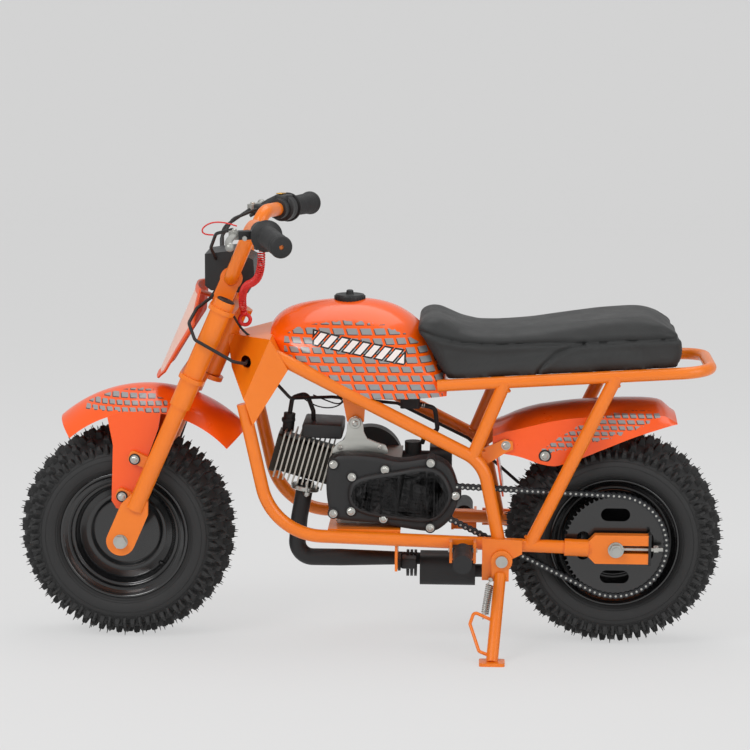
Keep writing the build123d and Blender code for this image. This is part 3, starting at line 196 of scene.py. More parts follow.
def addSweep(mesh, route, radius, sides=14, caps=True, flat=1.0, facing=None):
    # a bar or tube that follows a route without twisting; radius is one number or one for each point
    route = [Vector(point) for point in route]
    sizes = radius if hasattr(radius, "__len__") else [radius] * len(route)
    last = len(route) - 1
    side = Vector(facing) if facing else (route[1] - route[0]).orthogonal()
    part = bmesh.new()
    ring = bmesh.ops.create_circle(part, cap_ends=False, segments=sides, radius=1.0)["verts"]
    edges = part.edges[:]
    before = Matrix.Identity(4)
    for i, (spot, size) in enumerate(zip(route, sizes)):
        way = (route[min(i + 1, last)] - route[max(i - 1, 0)]).normalized()
        side = (side - way * side.dot(way)).normalized()
        matrix = Matrix((side * size, way.cross(side) * size * flat, way)).transposed().to_4x4()
        matrix.translation = spot
        if i:
            grown = bmesh.ops.extrude_edge_only(part, edges=edges)["geom"]
            ring = [item for item in grown if isinstance(item, bmesh.types.BMVert)]
            fresh = set(ring)
            edges = [
                item for item in grown
                if isinstance(item, bmesh.types.BMEdge) and all(vert in fresh for vert in item.verts)
            ]
        bmesh.ops.transform(part, matrix=matrix @ before.inverted(), verts=ring)
        before = matrix
    if caps:
        bmesh.ops.holes_fill(part, edges=part.edges)
    joinPart(mesh, part)


def addTurned(mesh, origin, direction, profile, sides=32, caps=True):
    # a turned shape: pairs of distance along its axis and radius
    part = bmesh.new()
    line = [part.verts.new((radius, 0, distance)) for distance, radius in profile]
    edges = [part.edges.new(pair) for pair in zip(line, line[1:])]
    bmesh.ops.spin(
        part, geom=line + edges, cent=(0, 0, 0), axis=(0, 0, 1), angle=math.tau, steps=sides, use_merge=True
    )
    bmesh.ops.remove_doubles(part, verts=part.verts, dist=0.001)
    if caps:
        bmesh.ops.holes_fill(part, edges=part.edges)
    joinPart(mesh, part, placed(origin, direction))


def finishMesh(mesh, name, body, material, sharp=35.0, smooth=True):
    # leans the mesh with the bike, marks edges above sharp degrees and links it as a piece
    bmesh.ops.transform(mesh, matrix=leanMatrix, verts=mesh.verts)
    bmesh.ops.recalc_face_normals(mesh, faces=mesh.faces)
    for face in mesh.faces:
        face.smooth = smooth
    for edge in mesh.edges:
        edge.smooth = len(edge.link_faces) == 2 and edge.calc_face_angle(0) < math.radians(sharp)
    data = bpy.data.meshes.new(name)
    mesh.to_mesh(data)
    mesh.free()
    piece = bpy.data.objects.new(name, data)
    bpy.context.scene.collection.objects.link(piece)
    data.materials.append(material)
    if body:
        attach(piece, body)
    return piece


def addCable(name, points, radius, body, material):
    # round cable on a smooth spline through given control points
    curve = bpy.data.curves.new(name, "CURVE")
    curve.dimensions = "3D"
    curve.bevel_depth = radius / 1000
    curve.bevel_resolution = 4
    curve.resolution_u = 10
    curve.use_fill_caps = True
    spline = curve.splines.new("NURBS")
    spline.points.add(len(points) - 1)
    for spot, point in zip(spline.points, points):
        spot.co = (*toFrame(point), 1)
    spline.order_u = 3
    spline.use_endpoint_u = True
    curve.materials.append(material)
    piece = bpy.data.objects.new(name, curve)
    bpy.context.scene.collection.objects.link(piece)
    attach(piece, body)
    return piece


# Material helpers
def linearColour(code):
    parts = [int(code[i:i + 2], 16) / 255 for i in (1, 3, 5)]
    return tuple(p / 12.92 if p <= 0.04045 else ((p + 0.055) / 1.055) ** 2.4 for p in parts) + (1.0,)


def addNode(material, kind, settings=None, values=None, links=None):
    node = material.node_tree.nodes.new(kind)
    for key, value in (settings or {}).items():
        setattr(node, key, value)
    for key, value in (values or {}).items():
        node.inputs[key].default_value = value
    for key, socket in (links or {}).items():
        material.node_tree.links.new(socket, node.inputs[key])
    return node


def newMaterial(name):
    material = bpy.data.materials.new(name)
    material.use_nodes = True
    shader = material.node_tree.nodes["Principled BSDF"]
    place = addNode(material, "ShaderNodeTexCoord")
    return material, shader, place.outputs["Object"]


def variedSurface(name, dark, light, patch, grain, grainDepth, roughLow, roughHigh, stretch=None):
    # patch and grain are the sizes in millimetres of the colour drift and of the surface relief
    material, shader, place = newMaterial(name)
    link = material.node_tree.links.new
    if stretch:
        place = addNode(
            material, "ShaderNodeMapping", values={"Scale": stretch}, links={"Vector": place}
        ).outputs["Vector"]
    drift = addNode(
        material, "ShaderNodeTexNoise", values={"Scale": 1000 / patch, "Detail": 4.0, "Roughness": 0.6},
        links={"Vector": place},
    )
    colour = addNode(
        material, "ShaderNodeMix", settings={"data_type": "RGBA"},
        values={6: linearColour(dark), 7: linearColour(light)}, links={0: drift.outputs["Fac"]},
    )
    link(colour.outputs[2], shader.inputs["Base Color"])
    rough = addNode(
        material, "ShaderNodeMapRange",
        values={"From Min": 0.3, "From Max": 0.7, "To Min": roughLow, "To Max": roughHigh},
        links={"Value": drift.outputs["Fac"]},
    )
    link(rough.outputs["Result"], shader.inputs["Roughness"])
    relief = addNode(
        material, "ShaderNodeTexNoise", values={"Scale": 1000 / grain, "Detail": 2.0}, links={"Vector": place},
    )
    bump = addNode(
        material, "ShaderNodeBump", values={"Strength": 1.0, "Distance": grainDepth / 1000},
        links={"Height": relief.outputs["Fac"]},
    )
    link(bump.outputs["Normal"], shader.inputs["Normal"])
    return material, shader


# Polyester powder coat on steel tube: satin, with a soft orange peel
framePaint, shader = variedSurface("powderCoatOrange", "#E06E08", "#EA7A0E", 60, 1.6, 0.03, 0.3, 0.4)
shader.inputs["Coat Weight"].default_value = 0.2
shader.inputs["Coat Roughness"].default_value = 0.2

# Stoved enamel on pressed steel: deep and glossy, with a faint peel
tankPaint, tankShader = variedSurface("stovedEnamelOrange", "#F05402", "#F45E04", 90, 2.5, 0.012, 0.2, 0.28)
tankShader.inputs["Specular IOR Level"].default_value = 0.3
tankShader.inputs["Coat Weight"].default_value = 0.4
tankShader.inputs["Coat Roughness"].default_value = 0.06

# Injection-moulded polypropylene, coloured in the mass: a softer gloss than the tank and even in hue
fenderPlastic, fenderShader = variedSurface(
    "mouldedPolypropyleneOrange", "#EC4E02", "#F25A06", 70, 1.2, 0.01, 0.26, 0.36
)
fenderShader.inputs["Coat Weight"].default_value = 0.25

# Tread rubber: dull, a little dusty in random patches
tyreRubber, shader = variedSurface("treadRubber", "#1C1C1D", "#2C2C2C", 35, 0.9, 0.06, 0.62, 0.8)

# Gloss chassis enamel on pressed rims: deep black with clear reflections
rimEnamel, shader = variedSurface("chassisEnamelBlack", "#0D0D0E", "#141415", 50, 2.2, 0.012, 0.16, 0.26)
shader.inputs["Coat Weight"].default_value = 0.8
shader.inputs["Coat Roughness"].default_value = 0.08

# Heatproof paint on castings and the exhaust: matt and grainy black
heatBlack, shader = variedSurface("heatproofBlack", "#161617", "#232324", 28, 0.8, 0.08, 0.5, 0.66)

# Zinc-plated steel: pale grey, slightly cloudy
zincSteel, shader = variedSurface("zincPlatedSteel", "#B4B4B0", "#D2D2CC", 14, 0.7, 0.02, 0.26, 0.42)
shader.inputs["Metallic"].default_value = 1.0

# Sand-cast aluminium: grainy, dull silver
castAlloy, shader = variedSurface("sandCastAluminium", "#9C9C98", "#B8B8B3", 18, 0.7, 0.1, 0.42, 0.58)
shader.inputs["Metallic"].default_value = 1.0

# Moulded ABS with a spark-eroded grain: matt black that breaks up its highlights
mouldedBlack, shader = variedSurface("mouldedAbsBlack", "#151516", "#202021", 25, 0.6, 0.05, 0.42, 0.55)

# Soft grip rubber: the dullest black, with no clear highlight
gripRubber, shader = variedSurface("gripRubber", "#161617", "#222223", 20, 0.6, 0.04, 0.55, 0.7)

# Print on self-adhesive film: flat white under a thin gloss
boardWhite, shader = variedSurface("printedFilmWhite", "#E6E6E2", "#F0F0EC", 60, 3.0, 0.005, 0.22, 0.3)

# Soft PVC of the curly cord and its clip: strong red with a satin shine
cordRed, shader = variedSurface("softPvcRed", "#C01410", "#D21E16", 12, 0.8, 0.02, 0.3, 0.42)

# Cylinder casting: pale and grainy on the fins' edges, with painted shade between them laid on by the pattern below
finAlloy, finShader = variedSurface("finnedCastAlloy", "#B0ADA4", "#CBC8BF", 14, 0.7, 0.06, 0.4, 0.55)
finShader.inputs["Metallic"].default_value = 0.6

# Soft PVC leathercloth of the pad: charcoal with a broad, low sheen
seatVinyl, seatShader = variedSurface("pvcLeathercloth", "#1B1C1C", "#262727", 40, 0.9, 0.04, 0.44, 0.58)

# Polypropylene board in the fenders' orange: satin, a little redder than the frame
plateOrange, plateShader = variedSurface("mouldedBoardOrange", "#DC4A0E", "#E4571A", 50, 1.2, 0.01, 0.3, 0.4)

# Brass-plated screws and clamp plate: small warm metal glints
brassPlate, shader = variedSurface("brassPlate", "#B98A3A", "#D0A24C", 8, 0.6, 0.02, 0.28, 0.4)
shader.inputs["Metallic"].default_value = 1.0

# Pressed plate, zinc-plated over rolling marks: silver with faint streaks along the bike
brushedZinc, shader = variedSurface(
    "rolledZincPlate", "#B8B8B2", "#D6D6D0", 12, 0.8, 0.03, 0.3, 0.46, stretch=(0.15, 1.0, 1.0)
)
shader.inputs["Metallic"].default_value = 1.0

# Blackened chain steel with a film of oil: near black with sharp small highlights
oiledBlack, shader = variedSurface("oiledBlackSteel", "#131416", "#26282C", 6, 0.8, 0.02, 0.26, 0.44)


def uprightSockets(material):
    # a place on the object in millimetres on the upright bike, split into x, y and z
    back = leanMatrix.inverted()
    place = addNode(material, "ShaderNodeTexCoord")
    turned = addNode(
        material, "ShaderNodeMapping",
        values={"Location": back.translation, "Rotation": (-stance["lean"], 0, 0), "Scale": (1000, 1000, 1000)},
        links={"Vector": place.outputs["Object"]},
    )
    split = addNode(material, "ShaderNodeSeparateXYZ", links={"Vector": turned.outputs["Vector"]})
    return split.outputs["X"], split.outputs["Y"], split.outputs["Z"]


def calc(material, operation, *values):
    # one Math node; each value is a number or a socket
    node = addNode(material, "ShaderNodeMath", settings={"operation": operation})
    for index, value in enumerate(values):
        if hasattr(value, "default_value"):
            material.node_tree.links.new(value, node.inputs[index])
        else:
            node.inputs[index].default_value = value
    return node.outputs[0]


def within(material, value, low, high):
    # 1 between two values, 0 outside them
    over = calc(material, "GREATER_THAN", value, low)
    return calc(material, "MULTIPLY", over, calc(material, "LESS_THAN", value, high))


def paintOver(material, shader, mask, colour):
    # lays one flat colour over the base colour where the mask is 1
    socket = shader.inputs["Base Color"]
    below = socket.links[0].from_socket
    mix = addNode(
        material, "ShaderNodeMix", settings={"data_type": "RGBA"}, values={7: linearColour(colour)},
        links={0: mask, 6: below},
    )
    material.node_tree.links.new(mix.outputs[2], socket)


def blockPrint(material, shader, window, width, height, mortar, skew=0.42, shift=(0.0, 0.0)):
    # rows of grey printed blocks, their sizes in millimetres, with a dark edge on two sides, inside a window
    sums = partial(calc, material)
    x, y, z = uprightSockets(material)
    slanted = sums("MULTIPLY_ADD", z, skew, x)
    for offset, colour in ((1.5, "#4C3A34"), (0.0, "#8F8F8F")):
        u = sums("ADD", slanted, shift[0] + offset)
        v = sums("ADD", z, shift[1] + offset * 0.8)
        grid = addNode(material, "ShaderNodeCombineXYZ", links={"X": u, "Y": v})
        brick = addNode(
            material, "ShaderNodeTexBrick",
            settings={"offset": 0.5, "offset_frequency": 2, "squash": 1.18, "squash_frequency": 3},
            values={
                "Scale": 1.0, "Mortar Size": mortar, "Mortar Smooth": 0.0, "Bias": 0.0, "Brick Width": width,
                "Row Height": height,
            },
            links={"Vector": grid.outputs["Vector"]},
        )
        blocks = sums("SUBTRACT", 1.0, brick.outputs["Fac"])
        paintOver(material, shader, sums("MULTIPLY", blocks, window), colour)


def decalWindow(material, spanX, centre, slope, bow, halfHeight, pinch, sideOver):
    # a lens-shaped window: its middle line leans with slope and bows, its height shrinks with pinch
    sums = partial(calc, material)
    x, y, z = uprightSockets(material)
    away = sums("SUBTRACT", x, (spanX[0] + spanX[1]) / 2)
    square = sums("MULTIPLY", away, away)
    line = sums("MULTIPLY_ADD", square, -bow, sums("MULTIPLY_ADD", away, slope, centre))
    rag = addNode(
        material, "ShaderNodeTexNoise", values={"Scale": 110.0, "Detail": 1.0},
        links={"Vector": addNode(material, "ShaderNodeTexCoord").outputs["Object"]},
    )
    height = sums("MULTIPLY_ADD", square, -pinch, halfHeight)
    height = sums("MULTIPLY_ADD", sums("SUBTRACT", rag.outputs["Fac"], 0.5), 14.0, height)
    off = sums("ABSOLUTE", sums("SUBTRACT", z, line))
    inside = sums("MULTIPLY", sums("LESS_THAN", off, height), within(material, x, *spanX))
    return sums("MULTIPLY", inside, sums("GREATER_THAN", sums("ABSOLUTE", y), sideOver))


# Printed film under clear coat on the tank: grey blocks and a row of plain slanted bars
tankPrint = {"spanX": (-127, 112), "centre": 440, "slope": -0.13, "bow": 0.0002, "halfHeight": 62, "pinch": 0.0022}
tankBars = (  # colour, half height, the part of each step that is printed, from and to along the bike
    ("#26201F", 11.5, (0.02, 0.9), (-84, 57)),
    ("#E9DEDA", 9.0, (0.16, 0.74), (-81, 54)),
)
blockPrint(
    tankPaint, tankShader, decalWindow(tankPaint, **tankPrint, sideOver=40), 17.5, 13.5, 2.6, shift=(4, 3)
)
sums = partial(calc, tankPaint)
x, y, z = uprightSockets(tankPaint)
barOff = sums("ABSOLUTE", sums("SUBTRACT", z, sums("MULTIPLY_ADD", x, -0.2, 464.0)))
barPhase = sums("FRACT", sums("DIVIDE", sums("MULTIPLY_ADD", z, -0.9, x), 19.0))
onSide = sums("GREATER_THAN", sums("ABSOLUTE", y), 50.0)
for colour, tall, printed, spanX in tankBars:
    mask = sums("MULTIPLY", sums("LESS_THAN", barOff, tall), within(tankPaint, barPhase, *printed))
    mask = sums("MULTIPLY", mask, within(tankPaint, x, *spanX))
    paintOver(tankPaint, tankShader, sums("MULTIPLY", mask, onSide), colour)

# The same print, smaller, on both fenders
frontPrint = {"spanX": (-433, -306), "centre": 378, "slope": 0.0, "bow": 0.0026, "halfHeight": 16, "pinch": 0.0021}
rearPrint = {"spanX": (262, 440), "centre": 344, "slope": 0.33, "bow": 0.0009, "halfHeight": 17, "pinch": 0.0016}
frontWindow = decalWindow(fenderPlastic, **frontPrint, sideOver=22)
rearWindow = decalWindow(fenderPlastic, **rearPrint, sideOver=52)
blockPrint(fenderPlastic, fenderShader, calc(fenderPlastic, "MAXIMUM", frontWindow, rearWindow), 12, 9, 1.8)

# Cast fins: painted shade between them, the alloy's own pale colour on their edges, measured from the cylinder's
# middle along its tilt
finShadeField = {"middle": (101.0, 281.0), "tilt": math.radians(15.6), "paintedShadeHalf": 34.0}
sums = partial(calc, finAlloy)
x, y, z = uprightSockets(finAlloy)
across = sums(
    "ADD", sums("MULTIPLY", sums("ADD", x, finShadeField["middle"][0]), math.sin(finShadeField["tilt"])),
    sums("MULTIPLY", sums("SUBTRACT", z, finShadeField["middle"][1]), math.cos(finShadeField["tilt"])),
)
outward = sums("MAXIMUM", sums("ABSOLUTE", across), sums("ABSOLUTE", y))
# painted shade: a dark warm grey over the cylinder's core, where the shade between the fins falls
paintOver(finAlloy, finShader, sums("LESS_THAN", outward, finShadeField["paintedShadeHalf"]), "#38352F")

# Cover of the pad: a weave below the upper seam, drawn coarser than cloth so that it shows, and a fine grain above
weave = {"thread": 3.4, "top": 477.0, "depth": 0.0003, "grain": 900.0}
sums = partial(calc, seatVinyl)
x, y, z = uprightSockets(seatVinyl)
threads = [
    sums("SINE", sums(
        "MULTIPLY", sums("ADD", sums("MULTIPLY", z, sign), sums("ADD", x, y)), math.tau / weave["thread"]
    ))
    for sign in (1.0, -1.0)
]
grain = addNode(
    seatVinyl, "ShaderNodeTexVoronoi", values={"Scale": weave["grain"]},
    links={"Vector": addNode(seatVinyl, "ShaderNodeTexCoord").outputs["Object"]},
)
both = addNode(
    seatVinyl, "ShaderNodeMix", settings={"data_type": "FLOAT"},
    links={0: sums("LESS_THAN", z, weave["top"]), 2: grain.outputs["Distance"], 3: sums("MULTIPLY", *threads)},
)
relief = addNode(
    seatVinyl, "ShaderNodeBump", values={"Strength": 0.8, "Distance": weave["depth"]},
    links={"Height": both.outputs[0]},
)
seatVinyl.node_tree.links.new(relief.outputs["Normal"], seatShader.inputs["Normal"])

# Plate: orange round its rim, the field inside it in pale film on its front
plateField = {"low": 256.0, "high": 390.0, "bow": 24 / 88**2, "front": -51.5, "colour": "#E2B7A8"}
sums = partial(calc, plateOrange)
x, y, z = uprightSockets(plateOrange)
c, s = math.cos(stance["rake"]), math.sin(stance["rake"])
fromAxleX, fromAxleZ = sums("SUBTRACT", x, frontAxle.x), sums("SUBTRACT", z, frontAxle.z)
upPlate = sums("ADD", sums("MULTIPLY", fromAxleX, s), sums("MULTIPLY", fromAxleZ, c))
backPlate = sums("SUBTRACT", sums("MULTIPLY", fromAxleX, c), sums("MULTIPLY", fromAxleZ, s))
wide = sums("ABSOLUTE", y)
lowHalf = sums("MULTIPLY_ADD", sums("SUBTRACT", upPlate, 262.0), 0.32, 50.0)
highHalf = sums("MULTIPLY_ADD", sums("SUBTRACT", upPlate, 350.0), -0.6, 78.0)
field = sums("LESS_THAN", wide, sums("MINIMUM", lowHalf, highHalf))
field = sums("MULTIPLY", field, within(plateOrange, upPlate, plateField["low"], plateField["high"]))
bowed = sums("MULTIPLY_ADD", sums("MULTIPLY", wide, wide), plateField["bow"], plateField["front"])
field = sums("MULTIPLY", field, sums("LESS_THAN", backPlate, bowed))
paintOver(plateOrange, plateShader, field, plateField["colour"])

slotMaterials = {
    "frame_paint": framePaint,
    "tank_paint": tankPaint,
    "fender_plastic": fenderPlastic,
    "plate_white": boardWhite,
    "rim_black": rimEnamel,
    "black_metal": heatBlack,
    "tyre": tyreRubber,
    "rubber": gripRubber,
    "black_plastic": mouldedBlack,
    "steel": zincSteel,
    "alloy": castAlloy,
    "seat_vinyl": seatVinyl,
    "cord_red": cordRed,
}
for part in frame["record"]["subparts"]:
    node = nodes[part["node"]]
    node.data.materials.clear()
    node.data.materials.append(slotMaterials[part["material_slot"]])
for name, material in (("wheel_sprocket", rimEnamel), ("drive_sprocket", heatBlack), ("cylinder", finAlloy)):
    nodes[name].data.materials[0] = material
print("materials on the frame's nodes")

# Tyres
tyreShape = {
    "pitches": 36,
    "carcassCrown": 76.0,
    "lugHeight": 9.5,
    "half": 59.5,
    "beadHalf": 47.0,
    "beadRadius": 96.0,
    "bulgeRadius": 114.0,
    "rings": (103.0, 106.0, 121.0, 126.0),
    "wallSteps": 120,
    "nub": 5.2,
    "nubRadius": 1.25,
    "nubSpots": ((24, 0.1), (36, -0.12), (41, 0.42), (12, 0.55), (4, 0.08)),
}
lugRows = (  # degrees from the crown, width, length, shift in pitches, taper
    (0.0, 19.0, 15.0, 0.0, 0.62),
    (15.0, 15.0, 12.0, 0.5, 0.6),
    (-15.0, 15.0, 12.0, 0.5, 0.6),
    (30.0, 17.0, 13.0, 0.0, 0.58),
    (-30.0, 17.0, 13.0, 0.0, 0.58),
    (43.0, 13.0, 9.0, 0.5, 0.6),
    (-43.0, 13.0, 9.0, 0.5, 0.6),
    (44.0, 16.0, 5.0, 0.0, 0.7),
    (-44.0, 16.0, 5.0, 0.0, 0.7),
)


def arcThrough(start, middle, end, steps):
    # points on the circle through three points of a plane
    ax, ay = start
    bx, by = middle
    cx, cy = end
    d = 2 * (ax * (by - cy) + bx * (cy - ay) + cx * (ay - by))
    ux = ((ax**2 + ay**2) * (by - cy) + (bx**2 + by**2) * (cy - ay) + (cx**2 + cy**2) * (ay - by)) / d
    uy = ((ax**2 + ay**2) * (cx - bx) + (bx**2 + by**2) * (ax - cx) + (cx**2 + cy**2) * (bx - ax)) / d
    radius = math.hypot(ax - ux, ay - uy)
    first = math.atan2(ay - uy, ax - ux)
    mid = (math.atan2(by - uy, bx - ux) - first) % math.tau
    last = (math.atan2(cy - uy, cx - ux) - first) % math.tau
    if mid > last:
        last -= math.tau
    return [
        (ux + radius * math.cos(first + last * i / steps), uy + radius * math.sin(first + last * i / steps))
        for i in range(steps + 1)
    ]


def roundedLine(points, radius, steps=3):
    # an open outline with its inner corners rounded
    line = [points[0]]
    for before, corner, after in zip(points, points[1:], points[2:]):
        a, b, c = Vector(before), Vector(corner), Vector(after)
        reach = min(radius, (a - b).length * 0.45, (c - b).length * 0.45)
        start, end = b + (a - b).normalized() * reach, b + (c - b).normalized() * reach
        for i in range(steps + 1):
            t = i / steps
            line.append(tuple(start * (1 - t) ** 2 + b * 2 * t * (1 - t) + end * t**2))
    line.append(points[-1])
    return line


def addLug(mesh, axle, angle, tilt, size, taper, drop=0.0):
    # one block with a smaller top, standing on the carcass
    length, width, height = size
    made = bmesh.ops.create_cube(mesh, size=1.0)["verts"]
    for vert in made:
        shrink = taper if vert.co.z > 0 else 1.0
        vert.co = Vector((vert.co.x * length * shrink, vert.co.y * width * shrink, vert.co.z * height))
    crown = tyreShape["carcassCrown"]
    centre = stance["tyreRadius"] - stance["treadCrown"]
    matrix = (
        Matrix.Translation(axle)
        @ Matrix.Rotation(angle, 4, "Y")
        @ Matrix.Translation((0, 0, centre))
        @ Matrix.Rotation(-tilt, 4, "X")
        @ Matrix.Translation((0, 0, crown + height / 2 - 2.0 - drop))
    )
    bmesh.ops.transform(mesh, matrix=matrix, verts=made)
    edges = list({edge for vert in made for edge in vert.link_edges})
    bmesh.ops.bevel(mesh, geom=edges, offset=0.9, segments=1, affect="EDGES", profile=0.5, material=-1)


def buildTyre(name, axle, body, node):
    mesh = bmesh.new()
    pitch = math.tau / tyreShape["pitches"]
    for degrees, width, length, shift, taper in lugRows:
        tilt = math.radians(degrees)
        addLug(mesh, axle, shift * pitch, tilt, (length, width, tyreShape["lugHeight"] + 2), taper)
    centre = stance["tyreRadius"] - stance["treadCrown"]
    reach = tyreShape["carcassCrown"] + tyreShape["lugHeight"]
    for degrees, shift in tyreShape["nubSpots"]:
        for side in (-1, 1):
            tilt = math.radians(degrees) * side
            turn = Matrix.Rotation(shift * pitch, 3, "Y")
            way = Vector((0, math.sin(tilt), math.cos(tilt)))
            root = Vector((0, 0, centre)) + way * (reach - 3)
            addDisc(mesh, axle + turn @ root, turn @ way, tyreShape["nubRadius"], tyreShape["nub"] + 3, 5, 0.35)
    bmesh.ops.spin(
        mesh, geom=mesh.verts[:] + mesh.edges[:] + mesh.faces[:], cent=axle, axis=(0, 1, 0),
        angle=math.tau - pitch, steps=tyreShape["pitches"] - 1, use_duplicate=True,
    )
    half, crown = tyreShape["half"], tyreShape["carcassCrown"]
    shoulder = centre + math.sqrt(crown**2 - half**2)
    tread = arcThrough((-half, shoulder), (0, centre + crown), (half, shoulder), 16)
    wall = arcThrough(
        (half, shoulder), (half + 2, tyreShape["bulgeRadius"]),
        (tyreShape["beadHalf"], tyreShape["beadRadius"]), 10,
    )
    inner = [(tyreShape["beadHalf"], 84.0), (-tyreShape["beadHalf"], 84.0)]
    mirrored = [(-across, radius) for across, radius in reversed(wall)]
    addLathe(mesh, tread[:-1] + wall + inner + mirrored[:-1], axle, tyreShape["wallSteps"])
    for radius in tyreShape["rings"]:
        spot = min(wall, key=lambda point: abs(point[1] - radius))
        for side in (-1, 1):
            rib = [(side * (spot[0] + out), spot[1] + up) for out, up in ((-1.5, -1.1), (0.5, 0.0), (-1.5, 1.1))]
            addLathe(mesh, rib, axle, tyreShape["wallSteps"])
    piece = finishMesh(mesh, name, body, tyreRubber, sharp=32)
    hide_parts(node)


buildTyre("frontKnobbyTyre", frontAxle, "front_wheel", "front_tyre")
buildTyre("rearKnobbyTyre", rearAxle, "rear_wheel", "rear_tyre")
print("tyres")

# Rims
rimProfile = (  # across from the wheel's middle, radius from its axle, round the whole section
    (-66.0, 17.0), (-19.5, 17.0), (-17.0, 20.0), (-17.0, 51.0), (-21.5, 56.0), (-21.5, 61.0), (-27.0, 72.0),
    (-34.0, 76.5), (-38.5, 77.5), (-39.5, 82.0), (-46.0, 86.0), (-50.5, 92.0), (-54.0, 95.5), (-54.0, 98.5),
    (-51.0, 98.5), (-48.5, 92.0), (-46.0, 83.0), (46.0, 83.0), (49.0, 92.0), (51.0, 98.5), (54.0, 98.5),
    (54.0, 95.5), (51.0, 90.0), (47.0, 76.0), (-20.0, 76.0), (-14.0, 56.0), (-13.0, 50.0), (-13.0, 20.0),
    (-9.0, 17.0), (66.0, 17.0), (66.0, 6.2), (-66.0, 6.2),
)


def buildRim(name, axle, body, node):
    mesh = bmesh.new()
    outline = roundedLine(list(rimProfile), 2.2)
    addLathe(mesh, outline, axle, 128)
    # tyre valve through the left side of the barrel
    addRod(mesh, Vector(axle) + Vector((60, -30, -52)), Vector(axle) + Vector((52, -34, -45)), 3.4, 14)
    piece = finishMesh(mesh, name, body, rimEnamel, sharp=40)
    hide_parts(node)


buildRim("frontPressedRim", frontAxle, "front_wheel", "front_rim")
buildRim("rearPressedRim", rearAxle, "rear_wheel", "rear_rim")
print("rims")


# Handlebar: one bent tube in the frame's orange
barShape = {"radius": 11.0, "bend": 24.0, "centreUp": 432.0, "centreHalf": 62.0}


def barPoints():
    points = []
    for side in (-1, 1):
        half = [
            barEnd + Vector((0, side * stance["barHalfWidth"], 0)),
            forkPoint(stance["barBack"], stance["barShoulder"], side * stance["barShoulderHalf"]),
            forkPoint(stance["barBack"], barShape["centreUp"], side * barShape["centreHalf"]),
        ]
        points += half if side < 0 else half[::-1]
    return points


def barSpot(side, inboard):
    # a place on the bar, inboard from its end, and the way towards the middle
    tip = barEnd + Vector((0, side * stance["barHalfWidth"], 0))
    shoulder = forkPoint(stance["barBack"], stance["barShoulder"], side * stance["barShoulderHalf"])
    along = (shoulder - tip).normalized()
    return tip + along * inboard, along


mesh = bmesh.new()
addSweep(mesh, roundedRoute(barPoints(), barShape["bend"], 8), barShape["radius"], 28)
piece = finishMesh(mesh, "bentHandlebar", "steering", framePaint)
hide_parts("handlebar")

# Grips: ribbed sleeves with a wide inboard flange; the right one flares at its end
gripShape = {"length": 112.0, "radius": 15.5, "flange": 24.0, "ribs": 17, "ribDepth": 0.9}
mesh = bmesh.new()
for side in (-1, 1):
    tip, along = barSpot(side, -3.0)
    flare = 0.8 if side < 0 else 3.4
    profile = [(0.0, 3.4), (0.0, gripShape["radius"] - 2.2), (1.2, gripShape["radius"] - 0.4)]
    profile += [(4.0, gripShape["radius"] + flare), (9.0, gripShape["radius"] + flare * 0.6)]
    pitch = (gripShape["length"] - 26) / gripShape["ribs"]
    for rib in range(gripShape["ribs"]):
        start = 13 + rib * pitch
        outer = gripShape["radius"] - 0.2 + (0.6 if side < 0 else 1.6 * (1 - rib / gripShape["ribs"]))
        profile += [
            (start, outer - gripShape["ribDepth"]), (start + pitch * 0.3, outer),
            (start + pitch * 0.7, outer), (start + pitch, outer - gripShape["ribDepth"]),
        ]
    low = gripShape["length"] - 12
    profile += [
        (low, gripShape["radius"]), (low + 3, gripShape["radius"] + 2), (low + 7, gripShape["flange"] - 3),
        (low + 9, gripShape["flange"] - 0.6), (low + 12, gripShape["flange"] - 1), (low + 12.8, 12.0),
        (low + 12.8, 11.4), (6.0, 11.4), (5.0, 3.4), (0.0, 3.4),
    ]
    addTurned(mesh, tip, along, profile, 40, caps=False)
piece = finishMesh(mesh, "ribbedGrips", "steering", gripRubber, sharp=50)
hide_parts("grips")

# Throttle housing: two clamped halves, brass-plated screws and the cable's boot
throttleShape = {
    "body": (
        (0, 11.2), (0, 19), (1.5, 20.8), (10.6, 20.8), (11.4, 20), (12.2, 20.8), (21.5, 20.8), (23, 19), (23, 11.2),
    ),
    "boot": ((0, 0), (0, 7), (14, 8.4), (30, 8), (40, 5.4), (42, 5.4), (44, 3.2), (52, 2.6), (52, 0)),
    "screwTurns": (0.35, 1.5, 2.7, 3.9, 5.2),
    "screwReach": 17.2,
}
mesh = bmesh.new()
spot, along = barSpot(1, gripShape["length"] + 1.5)
addTurned(mesh, spot, along, throttleShape["body"], 36)
upward = (Vector((0, 0, 1)) - along * along.z).normalized()
addBlock(mesh, spot + along * 11.5 + upward * 10, (22, 30, 23), upward, 0.0, 3.0)
bootRoot = spot + along * 12 + upward * 14 + Vector((-10, 0, 0))
bootWay = (along * 0.3 + Vector((-0.8, 0, -0.55))).normalized()
addTurned(mesh, bootRoot, bootWay, throttleShape["boot"], 20)
piece = finishMesh(mesh, "throttleHousing", "steering", mouldedBlack, sharp=40)
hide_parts("throttle_housing")
mesh = bmesh.new()
for turn in throttleShape["screwTurns"]:
    out = (upward * math.cos(turn) + along.cross(upward) * math.sin(turn)) * throttleShape["screwReach"]
    addDisc(mesh, spot + out - along * 1.6, -along, 2.4, 1.0, 14, 2.0)
addBlock(mesh, spot + along * 12 + upward * 23 + Vector((-4, 0, 0)), (10, 20, 1.6), upward, 0.0, 0.5)
finishMesh(mesh, "throttleScrews", "steering", brassPlate)

# Brake levers: perch clamps and flat blades with a ball end, the right one inboard of the throttle
leverShape = {"blade": 112.0, "reach": 44.0, "splay": 26.0, "width": 13.0, "flat": 0.5, "ball": 6.6, "steps": 14}


